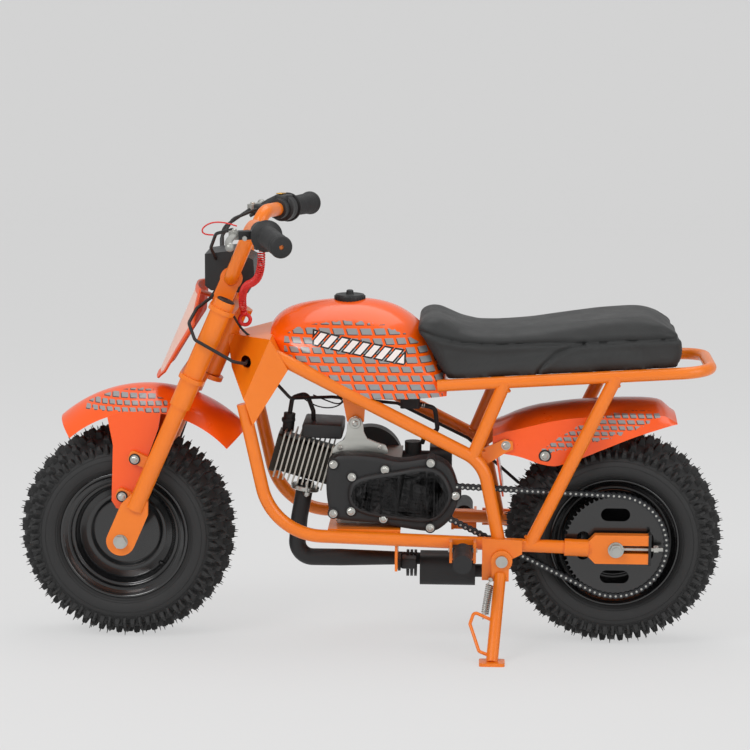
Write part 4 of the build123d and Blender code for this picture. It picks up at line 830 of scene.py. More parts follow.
def leverSpot(side):
    # where a perch sits on the bar, the way inboard and the way forward from the bar
    spot, along = barSpot(side, gripShape["length"] + (28 if side > 0 else 4))
    return spot, along, (Vector((-1, 0, 0)) + along * along.x).normalized()


levers = bmesh.new()
perches = bmesh.new()
for side in (-1, 1):
    spot, along, forward = leverSpot(side)
    addTurned(perches, spot, along, [(0, 11.2), (0, 15), (1, 16), (15, 16), (16, 15), (16, 11.2)], 32)
    root = spot + along * 8
    addBlock(perches, root + forward * 27, (15, 13, 27), forward, 0.0, 2.0)
    pivot = root + forward * leverShape["reach"]
    way = (-along * leverShape["blade"] + forward * leverShape["splay"]).normalized()
    line, sizes = [], []
    for i in range(leverShape["steps"] + 1):
        share = i / leverShape["steps"]
        bend = math.sin(share * math.pi * 0.8) * 7 - 3 * share
        line.append(pivot + way * (leverShape["blade"] * share) + forward * bend)
        sizes.append(leverShape["width"] / 2 * (1 - 0.25 * share))
    addSweep(levers, line, sizes, 12, flat=leverShape["flat"], facing=forward)
    bmesh.ops.create_uvsphere(
        levers, u_segments=16, v_segments=10, radius=leverShape["ball"], matrix=Matrix.Translation(line[-1])
    )
    addDisc(levers, pivot - Vector((0, 0, 6)), (0, 0, 1), 8.5, 12, 24)
piece = finishMesh(levers, "brakeLeverBlades", "steering", castAlloy, sharp=45)
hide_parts("brake_levers")
finishMesh(perches, "leverPerches", "steering", mouldedBlack, sharp=40)
mesh = bmesh.new()
spot, along = barSpot(-1, gripShape["length"] + 12)
forward = (Vector((-1, 0, 0)) + along * along.x).normalized()
addDisc(mesh, spot + forward * 28 + Vector((0, -8.5, -4)), left, 4, 3, 18, 3.4)
for side in (-1, 1):
    spot, along, forward = leverSpot(side)
    pivot = spot + along * 8 + forward * leverShape["reach"]
    addHexBolt(mesh, pivot + Vector((0, 0, 6)), (0, 0, 1), 4.2)
finishMesh(mesh, "leverFittings", "steering", zincSteel)
loopWire = (
    (-190, -152, 655), (-206, -148, 660), (-228, -146, 660), (-243, -144, 650), (-240, -140, 640),
    (-226, -136, 640),
)
addCable("perchLoopWire", loopWire, 1.1, "steering", cordRed)
print("bar, grips and levers")


# Kill cord: a curly lanyard from the switch, with a moulded ring on its free end
killCord = {
    "points": (
        (-153.1, -161.8, 622.8), (-153.3, -161.3, 605.8), (-155.6, -154.4, 590.4), (-160.5, -140.2, 577.3),
        (-170.0, -117.0, 567.0), (-180.0, -92.0, 561.0), (-188.0, -71.0, 550.0), (-192.0, -57.0, 531.0),
        (-190.0, -50.0, 514.0),
    ),
    "length": 0.1747,
    "diameter": 0.011,
    "wire": 1.15,
    "coil": 5.0,
    "pitch": 3.7,
    "steps": 14,
    "taper": 5.0,
    "ring": 8.0,
    "ringWire": 2.9,
}
curve = bpy.data.curves.new("cordRoute", "CURVE")
curve.dimensions = "3D"
curve.resolution_u = 32
spline = curve.splines.new("NURBS")
spline.points.add(len(killCord["points"]) - 1)
for spot, point in zip(spline.points, killCord["points"]):
    spot.co = (*point, 1)
spline.order_u = 3
spline.use_endpoint_u = True
routeObject = bpy.data.objects.new("cordRoute", curve)
routeMesh = bpy.data.meshes.new_from_object(routeObject)
route = [vert.co.copy() for vert in routeMesh.vertices]
bpy.data.objects.remove(routeObject)
bpy.data.meshes.remove(routeMesh)
bpy.data.curves.remove(curve)
print("cord route", len(route), "points", round(sum((a - b).length for a, b in zip(route, route[1:])), 1), "mm")


def spotOn(line, distance):
    # place and direction on a line at a distance from its start
    for a, b in zip(line, line[1:]):
        run = (b - a).length
        if distance <= run:
            return a.lerp(b, distance / run), (b - a).normalized()
        distance -= run
    return line[-1].copy(), (line[-1] - line[-2]).normalized()


mesh = bmesh.new()
total = sum((a - b).length for a, b in zip(route, route[1:]))
count = int(total / killCord["pitch"] * killCord["steps"])
side = Vector((0, 0, 1))
helix = []
for index in range(count + 1):
    distance = total * index / count
    spot, way = spotOn(route, distance)
    side = (side - way * side.dot(way)).normalized()
    turn = math.tau * index / killCord["steps"]
    reach = killCord["coil"] * min(1.0, distance / killCord["taper"], (total - distance) / killCord["taper"])
    helix.append(spot + (side * math.cos(turn) + way.cross(side) * math.sin(turn)) * reach)
addSweep(mesh, helix, killCord["wire"], 8)
curlyCord = finishMesh(mesh, "curlyKillCord", "steering", cordRed, sharp=60)
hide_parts("kill_cord")
mesh = bmesh.new()
end = route[-1]
way = (Vector(killCord["points"][-1]) - Vector(killCord["points"][-2])).normalized()
addTurned(mesh, end - way, way, [(0, 0), (0, 4.6), (1.2, 5.6), (5.5, 5.6), (7, 4.2), (7.6, 0)], 20)
ringCentre = end + way * 14
ringOut = Vector((killCord["ring"], 0, 0))
ring = [ringCentre + Matrix.Rotation(-math.tau * i / 30, 3, "Y") @ ringOut for i in range(32)]
addSweep(mesh, ring, killCord["ringWire"], 14, caps=False)
cordClip = finishMesh(mesh, "killCordRing", "steering", cordRed, sharp=50)
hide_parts("kill_clip")
print("kill cord")


# Chain: outer and inner plates by turns, with bright rivet ends
chainShape = {
    "links": 110, "drive": (90, 239), "wheelRadius": 77.7, "driveRadius": 16.7, "plate": 4.3, "waist": 2.9,
    "outer": 5.0, "inner": 3.6, "thick": 1.3, "roller": 2.7, "rivet": 1.7, "rivetLength": 12.8,
}


def chainLoop():
    # closed line round both sprockets, upper run first
    line = []
    drive, wheel = Vector(chainShape["drive"]), Vector((rearAxle.x, rearAxle.z))
    reach = wheel - drive
    splay = math.asin((chainShape["wheelRadius"] - chainShape["driveRadius"]) / reach.length)
    aim = math.atan2(reach.y, reach.x)
    high, low = aim + math.pi / 2 + splay, aim - math.pi / 2 - splay
    for hub, radius, first, last in (
        (drive, chainShape["driveRadius"], low + math.tau, high),
        (wheel, chainShape["wheelRadius"], high, low),
    ):
        for i in range(97):
            turn = first + (last - first) * i / 96
            line.append(hub + Vector((math.cos(turn), math.sin(turn))) * radius)
    return line + line[:1]


loop = [Vector((point.x, 0, point.y)) for point in chainLoop()]
total = sum((a - b).length for a, b in zip(loop, loop[1:]))
pins = [spotOn(loop, total * i / chainShape["links"])[0] for i in range(chainShape["links"])]
plates = bmesh.new()
rivets = bmesh.new()
for index, pin in enumerate(pins):
    after = pins[(index + 1) % len(pins)]
    way = (after - pin).normalized()
    lift = Vector((-way.z, 0, way.x))
    middle = (pin + after) / 2
    offset = chainShape["outer"] if index % 2 else chainShape["inner"]
    rim = []
    for centre, sign in ((after, 1), (pin, -1)):
        for k in range(7):
            turn = -math.pi / 2 + math.pi * k / 6
            rim.append(centre + (way * math.cos(turn) + lift * math.sin(turn)) * sign * chainShape["plate"])
        rim.append(middle + lift * chainShape["waist"] * sign)
    for side in (-1, 1):
        outline = [(point.x, point.z) for point in rim]
        near = -stance["chainLine"] + side * offset
        addPlate(plates, outline, near - chainShape["thick"] / 2, near + chainShape["thick"] / 2)
    pin = pin - Vector((0, stance["chainLine"], 0))
    length = chainShape["rivetLength"]
    addDisc(rivets, pin - left * length / 2, left, chainShape["rivet"], length, 10)
    addDisc(plates, pin - left * 3, left, chainShape["roller"], 6, 12)
chainPlates = finishMesh(
    plates, "rollerChainPlates", "frame", oiledBlack, sharp=30, smooth=False
)
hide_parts("chain")
finishMesh(rivets, "rollerChainRivets", "frame", zincSteel, sharp=40)
print("chain of", len(pins), "links, pitch", round(total / len(pins), 2))


# Reduction cover: cast pear-shaped lid, bolted through nine lobes
coverShape = {"low": -47.0, "face": -80.0, "panel": -87.0, "lobe": 8.6, "lobeDepth": 36.0}
coverBolts = (
    (-52, 287), (-24, 268), (26, 280), (95, 291), (133, 241), (95, 191), (24, 204), (-25, 215), (-52, 211),
)
coverLine = (
    (-62, 278), (-52, 296), (-34, 301), (11, 299), (49, 292), (94, 298), (118, 289), (130, 272), (138, 239),
    (128, 208), (113, 191), (95, 184), (57, 188), (19, 195), (-34, 199), (-54, 205), (-60, 222), (-63, 247),
)
coverSteps = (  # inwards from the outline, in front of the face
    (0, -33), (0, -6), (1.2, -2.5), (4, -0.5), (8, 0), (12, 0),
)
panelSteps = (  # inwards from the panel's outline, in front of the panel's face; the last steps are its groove
    (-5, -9), (-3.6, -4), (-1.6, -1.2), (0.6, 0), (2.4, 0), (3.2, -0.9), (4.4, -0.9), (5.2, 0), (9, 0),
)
panelLine = (
    (-26, 240), (-21, 257), (-1, 267), (45, 275), (88, 282), (112, 272), (125, 242), (112, 214), (90, 203),
    (45, 206), (0, 213), (-21, 224),
)


def smoothBetween(a, b, c, d, t):
    # from b to c on the smooth curve through four values or points
    return 0.5 * (2 * b + (c - a) * t + (2 * a - 5 * b + 4 * c - d) * t**2 + (3 * b - a - 3 * c + d) * t**3)


def closedCurve(points, steps=4):
    # a smooth closed outline through its points
    line = []
    count = len(points)
    for i in range(count):
        a, b, c, d = (Vector(points[(i + k - 1) % count]) for k in range(4))
        for k in range(steps):
            t = k / steps
            line.append(tuple(smoothBetween(a, b, c, d, t)))
    return line


def inset(outline, distance):
    # an outline moved inwards, for steps and grooves
    middle = sum((Vector(p) for p in outline), Vector((0, 0))) / len(outline)
    count = len(outline)
    moved = []
    for i, point in enumerate(outline):
        along = (Vector(outline[(i + 1) % count]) - Vector(outline[i - 1])).normalized()
        side = Vector((-along.y, along.x))
        if side.dot(middle - Vector(point)) < 0:
            side = -side
        moved.append(tuple(Vector(point) + side * distance))
    return moved


def addStack(mesh, layers):
    # a closed body bridged through outlines of equal length, each at its own place across the bike
    part = bmesh.new()
    rings = []
    for outline, across in layers:
        line = [part.verts.new((x, across, z)) for x, z in outline]
        rings.append([part.edges.new((line[i - 1], line[i])) for i in range(len(line))])
    for low, high in zip(rings, rings[1:]):
        bmesh.ops.bridge_loops(part, edges=low + high)
    bmesh.ops.holes_fill(part, edges=part.edges)
    joinPart(mesh, part)


mesh = bmesh.new()
for points, steps, face in ((coverLine, coverSteps, "face"), (panelLine, panelSteps, "panel")):
    edge = closedCurve(points)
    addStack(mesh, [(inset(edge, inwards), coverShape[face] - out) for inwards, out in steps])
lobe, depth = coverShape["lobe"], coverShape["lobeDepth"]
for x, z in coverBolts:
    addTurned(
        mesh, (x, coverShape["low"], z), left,
        [(0, 0), (0, lobe), (depth - 1.5, lobe), (depth, lobe - 1.4), (depth, 0)], 24,
    )
cover = finishMesh(mesh, "reductionCover", "frame", heatBlack, sharp=32)
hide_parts("gear_cover")
mesh = bmesh.new()
for x, z in coverBolts:
    addHexBolt(mesh, (x, coverShape["low"] - depth, z), left)
finishMesh(mesh, "coverBolts", "frame", zincSteel, sharp=30)

# Hanger: pressed silver plate with a welded eye
hangerBolts = ((-21, 344, -47.2, 5.0), (-44, 306, -45, 3.8), (17, 307, -45, 3.8))  # x, z, y and size
hangerLine = (
    (-56, 296), (-55, 304), (-48, 312), (-38, 318), (-34, 330), (-33, 342), (-29, 351), (-21, 355), (-13, 351),
    (-9, 342), (-8, 330), (-3, 320), (12, 314), (25, 310), (29, 303), (29, 296),
)
mesh = bmesh.new()
addPlate(mesh, hangerLine, -45, -40, 1.0)
addDisc(mesh, (-21, -45, 344), left, 9, 2.2, 28, 8)
addBlock(mesh, (-14, -42, 291), (84, 12, 4), (0, 0, 1), 0.0, 1.0)
piece = finishMesh(mesh, "pressedHanger", "frame", brushedZinc, sharp=35)
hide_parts("engine_hanger")
mesh = bmesh.new()
for x, z, y, size in hangerBolts:
    addHexBolt(mesh, (x, y, z), left, size)
finishMesh(mesh, "hangerBolts", "frame", zincSteel, sharp=30)
print("gear cover and hanger")


# Seat: a padded cover, inflated over its foam by a cloth simulation, then sewn along its panels
padShape = {
    "half": 90.0,  # of its width
    "round": 12.0,
    "voxel": 5.0,
    "cap": 5.0,  # the most a point may travel
    "pressure": 9.0,
    "frames": 20,
    "held": 7.0,  # height of the foot that the base board holds
    "relax": 8,
    "seamDepth": 2.8,
    "seamWidth": 2.2,
    "pillow": 1.2,
    "floorX": 118.0,
    "floorZ": 421.2,
    "floorRise": 21.9 / 346,
}
padLine = (  # side view from the front foot of the pad, back along the rail and round
    (118, 421), (290, 432), (464, 443), (469, 458), (470, 470), (467, 485), (457, 497), (442, 505), (425, 509),
    (404, 510), (350, 506), (286, 498), (240, 492), (197, 489), (165, 489), (140, 493), (118, 501), (100, 508),
    (84, 509), (72, 504), (66, 496),
)
padSeams = (
    (
        (78, 492), (107, 483), (142, 475), (182, 473), (227, 475), (271, 477), (322, 477), (375, 481), (456, 485),
        (472, 485),
    ),
    ((251, 427), (256, 436), (264, 446), (280, 460), (300, 469), (322, 476)),
)


def evaluated(source):
    # the mesh that an object has after its modifiers
    bpy.context.view_layer.update()
    found = source.evaluated_get(bpy.context.evaluated_depsgraph_get())
    return bpy.data.meshes.new_from_object(found)


def inflate(mesh):
    # voxel remesh, then pressure from inside for a few frames, with each point's travel capped
    data = bpy.data.meshes.new("padStart")
    bmesh.ops.scale(mesh, vec=(0.001, 0.001, 0.001), verts=mesh.verts)
    mesh.to_mesh(data)
    mesh.free()
    pad = bpy.data.objects.new("padStart", data)
    bpy.context.scene.collection.objects.link(pad)
    remesh = pad.modifiers.new("voxels", "REMESH")
    remesh.mode = "VOXEL"
    remesh.voxel_size = padShape["voxel"] / 1000
    pad.data = evaluated(pad)
    pad.modifiers.clear()
    rest = [vert.co.copy() for vert in pad.data.vertices]
    held = pad.vertex_groups.new(name="held")
    foot = padShape["held"]
    held.add([i for i, co in enumerate(rest) if co.z * 1000 < padFloor(co.x * 1000) + foot], 1.0, "REPLACE")
    cloth = pad.modifiers.new("filling", "CLOTH")
    cloth.settings.use_pressure = True
    cloth.settings.uniform_pressure_force = padShape["pressure"]
    cloth.settings.effector_weights.gravity = 0
    cloth.settings.vertex_group_mass = "held"
    for number in range(1, padShape["frames"] + 1):
        bpy.context.scene.frame_set(number)
    swollen = evaluated(pad)
    for vert, start, end in zip(pad.data.vertices, rest, swollen.vertices):
        travel = end.co - start
        limit = padShape["cap"] / 1000
        if travel.length > limit:
            travel = travel.normalized() * limit
        vert.co = start + travel
    pad.modifiers.clear()
    bpy.context.scene.frame_set(1)
    relaxed = bmesh.new()
    relaxed.from_mesh(pad.data)
    for _ in range(padShape["relax"]):
        bmesh.ops.smooth_vert(
            relaxed, verts=relaxed.verts, factor=0.5, use_axis_x=True, use_axis_y=True, use_axis_z=True
        )
    relaxed.to_mesh(pad.data)
    relaxed.free()
    smooth = pad.modifiers.new("finer", "SUBSURF")
    smooth.levels = 1
    smooth.render_levels = 1
    fine = evaluated(pad)
    bpy.data.objects.remove(pad)
    made = bmesh.new()
    made.from_mesh(fine)
    bmesh.ops.scale(made, vec=(1000, 1000, 1000), verts=made.verts)
    return made


def padFloor(x):
    # height of the seat rail's top
    return padShape["floorZ"] + (x - padShape["floorX"]) * padShape["floorRise"]


def nearLine(x, z, line):
    # distance in the side view from a place to a run of points
    best = 1e9
    spot = Vector((x, z))
    for a, b in zip(line, line[1:]):
        a, b = Vector(a), Vector(b)
        share = max(0.0, min(1.0, (spot - a).dot(b - a) / (b - a).length_squared))
        best = min(best, (spot - a.lerp(b, share)).length)
    return best


mesh = bmesh.new()
addPlate(mesh, padLine, -padShape["half"], padShape["half"])
edges = [
    edge for edge in mesh.edges
    if abs(edge.verts[0].co.y - edge.verts[1].co.y) < 1 and sum(vert.co.z for vert in edge.verts) / 2 > 450
]
bmesh.ops.bevel(
    mesh, geom=edges, offset=padShape["round"], segments=5, affect="EDGES", profile=0.5, material=-1,
    clamp_overlap=True,
)
bmesh.ops.triangulate(mesh, faces=mesh.faces)
mesh = inflate(mesh)
mesh.normal_update()
# Stitched seams sink in, with a soft swell beside them; then the foot sits flat and the front clears the tank
moves = []
for vert in mesh.verts:
    x, y, z = vert.co
    side = abs(vert.normal.y) + max(0.0, vert.normal.x)
    dip = 0.0
    if side > 0.45:
        for line in padSeams:
            away = nearLine(x, z, line)
            dip += padShape["seamDepth"] * math.exp(-((away / padShape["seamWidth"]) ** 2))
            dip -= padShape["pillow"] * math.exp(-(((away - 7) / 5) ** 2))
    moves.append(vert.co - vert.normal * dip)
for vert, spot in zip(mesh.verts, moves):
    vert.co = spot
    if vert.co.z < padFloor(vert.co.x) + 3.5:
        vert.co.z = padFloor(vert.co.x) - 0.6
    vert.co.x = max(vert.co.x, 118 - (vert.co.z - 421) * 44 / 79 - 1.5 - 0.6 * max(0.0, vert.co.z - 482))
seatPad = finishMesh(mesh, "sewnSeatPad", "frame", seatVinyl, sharp=80)
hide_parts("seat")
print("seat", len(seatPad.data.polygons), "faces")

# Bolts and washers on the fenders and the engine bed
bedNuts = ((-44, 194), (-16, 191), (11, 188))
fenderBolts = (  # names, body, x, z and y of each, washer and bolt sizes
    ("frontFenderWashers", "frontFenderBolts", "steering", ((-354, 290, 78), (-374, 232, 78)), 8.6, 5.2),
    ("fenderWashers", "frameNuts", "frame", ((208, 318, 73), (267, 302, 70)), 9.6, 5.6),
)
for washersName, boltsName, body, spots, washer, size in fenderBolts:
    mesh = bmesh.new()
    washers = bmesh.new()
    for side in (-1, 1):
        for x, z, y in spots:
            addDisc(washers, (x, side * y, z), (0, side, 0), washer, 1.4, 28)
            addHexBolt(mesh, (x, side * (y + 1.4), z), (0, side, 0), size)
        for x, z in bedNuts if body == "frame" else ():
            addDisc(mesh, (x, side * 40, z - 4), (0, 0, 1), 6.0, 2, 24)
            addDisc(mesh, (x, side * 40, z - 2), (0, 0, 1), 5.6, 9, 6)
    finishMesh(washers, washersName, body, gripRubber)
    finishMesh(mesh, boltsName, body, zincSteel, sharp=30)

# Number plate: orange moulded board, curved back at its sides, with a raised rim and a pale field
plateShape = {"low": 244.0, "high": 400.0, "rim": 7.0, "lip": 1.6, "thick": 3.0, "columns": 32, "rows": 36}
plateLine = ((244, 36), (262, 60), (350, 88), (400, 58))  # height along the fork, half width


def plateHalf(up):
    for (a, wideA), (b, wideB) in zip(plateLine, plateLine[1:]):
        if up <= b:
            return wideA + (wideB - wideA) * (up - a) / (b - a)
    return plateLine[-1][1]


mesh = bmesh.new()
bmesh.ops.create_grid(mesh, x_segments=plateShape["columns"], y_segments=plateShape["rows"], size=1.0)
for vert in mesh.verts:
    up = plateShape["low"] + (plateShape["high"] - plateShape["low"]) * (vert.co.y + 1) / 2
    y = plateHalf(up) * vert.co.x
    margin = min(plateHalf(up) - abs(y), up - plateShape["low"], plateShape["high"] - up)
    lip = plateShape["lip"] if margin < plateShape["rim"] else 0.0
    vert.co = forkPoint(-50 + 24 * (y / 88) ** 2 - lip, up, y)
bmesh.ops.recalc_face_normals(mesh, faces=mesh.faces)
bmesh.ops.solidify(mesh, geom=mesh.faces[:], thickness=plateShape["thick"])
addBlock(mesh, forkPoint(-38, 388), (30, 26, 3), forkPoint(0, 1) - forkPoint(0, 0), 0.0, 0.8)
plate = finishMesh(mesh, "curvedNumberPlate", "steering", plateOrange, sharp=40)
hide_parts("number_plate")
print("fasteners and plate")

# Rear fender: thin moulded skin with a crease along each side, over the CAD's own arch
fenderSkin = {
    "wall": 2.5, "lengthSteps": 42, "acrossSteps": 24, "half": 71.5, "tailHalf": 61.0,
    "panel": 0.125,  # share of the section that each side panel takes
}
rearCrown = ((188, 340), (230, 359), (260, 368), (318, 376), (399, 380), (443, 377), (466, 359))
rearCrease = ((188, 331), (203, 337), (281, 355), (338, 362), (397, 366), (447, 364), (466, 352))
rearLow = ((188, 318), (199, 306), (229, 300), (267, 288), (293, 289), (350, 311), (409, 335), (466, 351))


def heightAt(points, x):
    # smooth height on a side-view line
    last = len(points) - 1
    i = next((i for i in range(last) if x <= points[i + 1][0]), last - 1)
    share = max(0.0, min(1.0, (x - points[i][0]) / (points[i + 1][0] - points[i][0])))
    return smoothBetween(*(points[max(0, min(last, i + k))][1] for k in (-1, 0, 1, 2)), share)


def fenderSection(x, share):
    # place across and height on the skin; share runs from the left edge, 0, to the right edge, 1
    crown, crease = heightAt(rearCrown, x), heightAt(rearCrease, x)
    low = min(heightAt(rearLow, x), crease - 0.6)
    narrowing = max(0.0, (x - 430) / 36) ** 1.5
    wide = fenderSkin["half"] + (fenderSkin["tailHalf"] - fenderSkin["half"]) * narrowing
    side = -1 if share < 0.5 else 1
    edge = min(share, 1 - share) / fenderSkin["panel"]
    if edge <= 1:
        return side * (wide - 3.5 * edge**2), low + (crease - low) * edge
    across = (min(share, 1 - share) - fenderSkin["panel"]) / (0.5 - fenderSkin["panel"])
    bulge = 1 - (1 - across) ** 2
    return side * (wide - 3.5) * (1 - across), crease + (crown - crease) * (0.25 * bulge + 0.75 * bulge**1.6)


mesh = bmesh.new()
bmesh.ops.create_grid(
    mesh, x_segments=fenderSkin["lengthSteps"], y_segments=fenderSkin["acrossSteps"], size=0.5
)
fromX, toX = rearCrown[0][0], rearCrown[-1][0]
for vert in mesh.verts:
    x = fromX + (toX - fromX) * (vert.co.x + 0.5)
    vert.co = Vector((x, *fenderSection(x, vert.co.y + 0.5)))
bmesh.ops.recalc_face_normals(mesh, faces=mesh.faces)
crest = max(mesh.faces, key=lambda face: face.calc_center_median().z)
if crest.normal.z < 0:
    bmesh.ops.reverse_faces(mesh, faces=mesh.faces)
bmesh.ops.solidify(mesh, geom=mesh.faces[:], thickness=fenderSkin["wall"])
addPlate(mesh, ((188, 331), (191, 331), (206, 236), (203, 236)), -60, 60)  # the flap in front of the tyre
skin = finishMesh(mesh, "rearFenderSkin", "frame", fenderPlastic, sharp=24)
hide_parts("rear_fender")

# Stand spring: close-wound between the frame's bracket and the stand
springShape = {
    "top": (187, -119, 121), "foot": (178, -128, 62), "radius": 5.0, "wire": 1.2, "pitch": 2.9, "steps": 12,
    "hook": 8.0,
}
start, end = Vector(springShape["top"]), Vector(springShape["foot"])
way = (end - start).normalized()
side = way.orthogonal().normalized()
coiled = (end - start).length - 2 * springShape["hook"]
count = int(coiled / springShape["pitch"]) * springShape["steps"]
line = [start + side * 3, start + way * 3]
for i in range(count + 1):
    turn = math.tau * i / springShape["steps"]
    out = side * math.cos(turn) + way.cross(side) * math.sin(turn)
    line.append(start + way * (springShape["hook"] + coiled * i / count) + out * springShape["radius"])
line += [end - way * 3, end + side * 3]
mesh = bmesh.new()
addSweep(mesh, line, springShape["wire"], 7)
addDisc(mesh, (187, -113, 121), left, 3.4, 8, 18)
spring = finishMesh(mesh, "standSpring", None, zincSteel, sharp=60)
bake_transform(spring)

# Exhaust: flange and studs at the cylinder, rings round the pipe and a clamp block at the silencer
exhaustShape = {"flange": (-99, -14, 240), "way": (-10, -2, -56), "rings": (58, 64, 70)}
mesh = bmesh.new()
flangeWay = Vector(exhaustShape["way"]).normalized()
flangeLine = ((0, 15), (0, 21), (1, 22), (6, 22), (7, 21), (7, 15))
addTurned(mesh, exhaustShape["flange"], flangeWay, flangeLine, 36)
for side in (-1, 1):
    stud = Vector(exhaustShape["flange"]) + Vector((side * 4, -side * 19, 0))
    addRod(mesh, stud + Vector((0, 0, 10)), stud - Vector((1, 0, 14)), 3, 14)
    addDisc(mesh, stud - Vector((1, 0, 7)), flangeWay, 5.6, 5, 6)
addHexBolt(mesh, (46, -62, 128), (-1, 0, 0), 4.6)
finishMesh(mesh, "exhaustFlange", "frame", zincSteel, sharp=32)
mesh = bmesh.new()
for x in exhaustShape["rings"]:
    addTurned(mesh, (x, -20, 121), (1, 0, 0), [(0, 18), (0, 20.5), (4, 20.5), (4, 18)], 40)
addBlock(mesh, (62, -42, 128), (24, 34, 16), (0, 0, 1), 0.0, 3.0)
finishMesh(mesh, "exhaustStrap", "frame", mouldedBlack, sharp=40)

# Tank: turned cap with grip ribs and its vent, and a plain label
capShape = {"place": (-32, 0, 523), "ribs": 26, "ribReach": 22.8, "ribSize": (2.2, 2.4, 9)}
capLine = (
    (0, 22), (2, 23), (10, 23), (12.4, 21.6), (12.8, 19), (12.2, 17.5), (12.2, 7), (13, 6), (18, 5.2), (19.2, 3.6),
    (19.4, 0),
)
mesh = bmesh.new()
addTurned(mesh, capShape["place"], (0, 0, 1), capLine, 52)
for index in range(capShape["ribs"]):
    turn = math.tau * index / capShape["ribs"]
    spot = Matrix.Rotation(turn, 3, "Z") @ Vector((capShape["ribReach"], 0, 6))
    addBlock(mesh, Vector(capShape["place"]) + spot, capShape["ribSize"], (0, 0, 1), turn, 0.6)
cap = finishMesh(mesh, "ribbedTankCap", "frame", mouldedBlack, sharp=35)
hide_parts("tank_cap")
mesh = bmesh.new()
addBlock(mesh, (38, -30, 510.5), (33, 18, 0.6), (0.47, -0.43, 1), 0.0, 0.2)
finishMesh(mesh, "plainTankLabel", "frame", boardWhite)

# Electrics: thin wires under the tank and behind the plate, the plug cap's band, a clip on the fuel hose
wires = (
    ("coilWire", "frame", 1.1, (
        (-88, 2, 378), (-70, -6, 372), (-48, -14, 366), (-40, -20, 374), (-52, -24, 380), (-44, -26, 386),
        (-30, -26, 390),
    )),
    ("earthWire", "frame", 1.0, (
        (-112, 0, 380), (-92, -10, 366), (-66, -16, 360), (-44, -18, 366), (-36, -22, 378),
    )),
    ("harnessWire", "steering", 1.8, (
        (-208, -30, 545), (-214, -40, 520), (-202, -46, 500), (-190, -40, 480), (-176, -34, 470),
    )),
)
for name, body, radius, points in wires:
    addCable(name, points, radius, body, gripRubber)
mesh = bmesh.new()
addTurned(mesh, (-126, 0, 336), (0, 0, 1), [(0, 9.6), (2, 10.6), (5, 10.6), (7, 9.6)], 28)
finishMesh(mesh, "plugCapBand", "frame", gripRubber)
mesh = bmesh.new()
for x in (80, 83):
    addTurned(mesh, (x, -30, 371), (1, 0, -0.2), ((0, 3.4), (0, 4.6), (1.4, 4.6), (1.4, 3.4)), 24)
finishMesh(mesh, "hoseClip", "frame", zincSteel)

# Cowling over the cylinder, and caps on the fork legs
forkCapLine = ((0, 13.4), (2.4, 13.4), (3.6, 12), (3.6, 8), (2.2, 7), (2.2, 0))
mesh = bmesh.new()
addBlock(mesh, (-72, 8, 328), (88, 62, 22), (0.04, 0, 1), 0.0, 4.0)
finishMesh(mesh, "cylinderCowling", "frame", mouldedBlack, sharp=40)
mesh = bmesh.new()
upFork = forkPoint(0, 1) - forkPoint(0, 0)
for side in (-1, 1):
    addTurned(mesh, forkPoint(0, 403, side * stance["legSpacing"]), upFork, forkCapLine, 36)
finishMesh(mesh, "forkCaps", "steering", mouldedBlack, sharp=40)
print("rear fender, springs, exhaust, cap and wires")

# Weld beads where the seat's struts meet their tubes
weldShape = {"bead": 2.1, "lumps": 34, "ripple": 0.35, "ring": 10.4, "across": 88.0}
weldFeet = (  # x and z of a tube's foot, and the tube's way in the side view
    ((202, 408), (-47, -114)), ((160, 309), (47, 114)), ((366, 418), (-126, -260)), ((249, 176), (126, 260)),
)
mesh = bmesh.new()
for side in (-1, 1):
    for (x, z), (wayX, wayZ) in weldFeet:
        matrix = placed((x, side * weldShape["across"], z), (wayX, 0, wayZ))
        line, sizes = [], []
        for i in range(weldShape["lumps"] * 2 + 1):
            turn = math.tau * i / (weldShape["lumps"] * 2)
            line.append(matrix @ (Vector((math.cos(turn), math.sin(turn), 0)) * weldShape["ring"]))
            sizes.append(weldShape["bead"] + weldShape["ripple"] * (1 if i % 2 else -1))
        addSweep(mesh, line, sizes, 8, caps=False)
finishMesh(mesh, "weldBeads", "frame", framePaint, sharp=70)
print("welds")

# Studio: seamless grey paper that camera and mirror rays see evened out and all other rays see pale
studio = {
    "floorSize": 14.0, "wallHeight": 6.0, "wallBend": 2.5, "worldLight": 0.56, "backdrop": 0.7, "paperGlow": 0.55,
    "paperSeen": "#767676",
}
floorPaper, shader = variedSurface("seamlessPaper", "#F0F0EF", "#F6F6F5", 900, 40, 0.0, 0.85, 0.9)
rays = addNode(floorPaper, "ShaderNodeLightPath").outputs
direct = calc(floorPaper, "MAXIMUM", rays["Is Camera Ray"], rays["Is Glossy Ray"])
direct = calc(floorPaper, "MAXIMUM", direct, rays["Is Transmission Ray"])
paintOver(floorPaper, shader, direct, studio["paperSeen"])
shader.inputs["Emission Color"].default_value = (1, 1, 1, 1)
glow = calc(floorPaper, "MULTIPLY", direct, studio["paperGlow"])
floorPaper.node_tree.links.new(glow, shader.inputs["Emission Strength"])
shader.inputs["Specular IOR Level"].default_value = 0.0
mesh = bmesh.new()
bmesh.ops.create_grid(mesh, x_segments=1, y_segments=1, size=studio["floorSize"])
bmesh.ops.translate(mesh, vec=(0, 4.0, 0), verts=mesh.verts)
farEdge = [edge for edge in mesh.edges if all(vert.co.y > 10 for vert in edge.verts)]
raised = bmesh.ops.extrude_edge_only(mesh, edges=farEdge)["geom"]
bmesh.ops.translate(
    mesh, vec=(0, 0, studio["wallHeight"]), verts=[item for item in raised if isinstance(item, bmesh.types.BMVert)]
)
bmesh.ops.bevel(
    mesh, geom=[edge for edge in mesh.edges if len(edge.link_faces) == 2], offset=studio["wallBend"], segments=16,
    affect="EDGES", profile=0.5, material=-1,
)
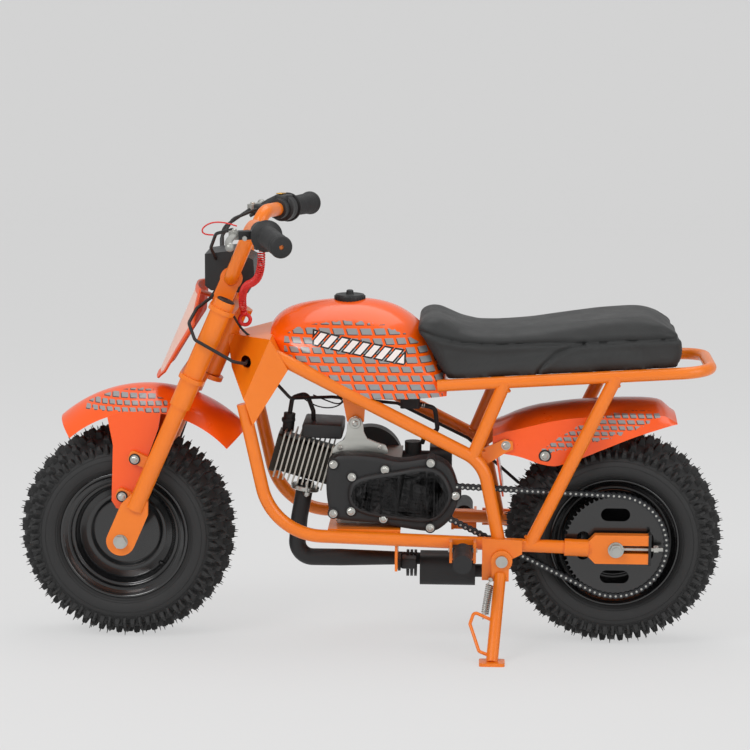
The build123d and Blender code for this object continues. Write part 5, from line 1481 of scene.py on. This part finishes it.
for face in mesh.faces:
    face.smooth = True
data = bpy.data.meshes.new("studioFloor")
mesh.to_mesh(data)
mesh.free()
studioFloor = bpy.data.objects.new("studioFloor", data)
bpy.context.scene.collection.objects.link(studioFloor)
data.materials.append(floorPaper)

world = bpy.data.worlds.new("studioWorld")
bpy.context.scene.world = world
world.use_nodes = True
background = world.node_tree.nodes["Background"]
background.inputs["Color"].default_value = (1, 1, 1, 1)
rays = addNode(world, "ShaderNodeLightPath").outputs
level = addNode(
    world, "ShaderNodeMapRange", values={"To Min": studio["worldLight"], "To Max": studio["backdrop"]},
    links={"Value": rays["Is Camera Ray"]},
)
world.node_tree.links.new(level.outputs["Result"], background.inputs["Strength"])

lampAim = Vector((0, 0, 0.35))
lamps = (  # name, place, size, watts
    ("keyLamp", (-1.8, -2.6, 2.6), 1.6, 62.0),
    ("fillLamp", (2.6, -2.2, 1.6), 2.0, 30.0),
    ("topLamp", (0.2, 0.6, 3.2), 2.2, 32.0),
)
for name, place, size, watts in lamps:
    light = bpy.data.lights.new(name, "AREA")
    light.size = size
    light.energy = watts
    lamp = bpy.data.objects.new(name, light)
    bpy.context.scene.collection.objects.link(lamp)
    lamp.location = place
    lamp.rotation_euler = (lampAim - lamp.location).to_track_quat("-Z", "Y").to_euler()

# Camera at the photograph's angle
shot = {
    "distance": 3929.58,
    "azimuth": 0.04055,
    "elevation": 0.1009,
    "roll": 0.00789,
    "aim": (5.748, 44.85, 406.86),
    "lens": 122.15,
}
back = Vector((
    math.sin(shot["azimuth"]) * math.cos(shot["elevation"]),
    -math.cos(shot["azimuth"]) * math.cos(shot["elevation"]),
    math.sin(shot["elevation"]),
))
right = Vector((math.cos(shot["azimuth"]), math.sin(shot["azimuth"]), 0))
up = back.cross(right)
rolledRight = right * math.cos(shot["roll"]) + up * math.sin(shot["roll"])
rolledUp = up * math.cos(shot["roll"]) - right * math.sin(shot["roll"])
lens = bpy.data.cameras.new("studioCamera")
lens.lens = shot["lens"]
lens.sensor_width = 36.0
camera = bpy.data.objects.new("studioCamera", lens)
bpy.context.scene.collection.objects.link(camera)
camera.matrix_world = Matrix.Translation((Vector(shot["aim"]) + back * shot["distance"]) / 1000) @ Matrix(
    (rolledRight, rolledUp, back)
).transposed().to_4x4()
bpy.context.scene.camera = camera
bpy.context.scene.view_settings.view_transform = "Standard"
print("studio and camera")
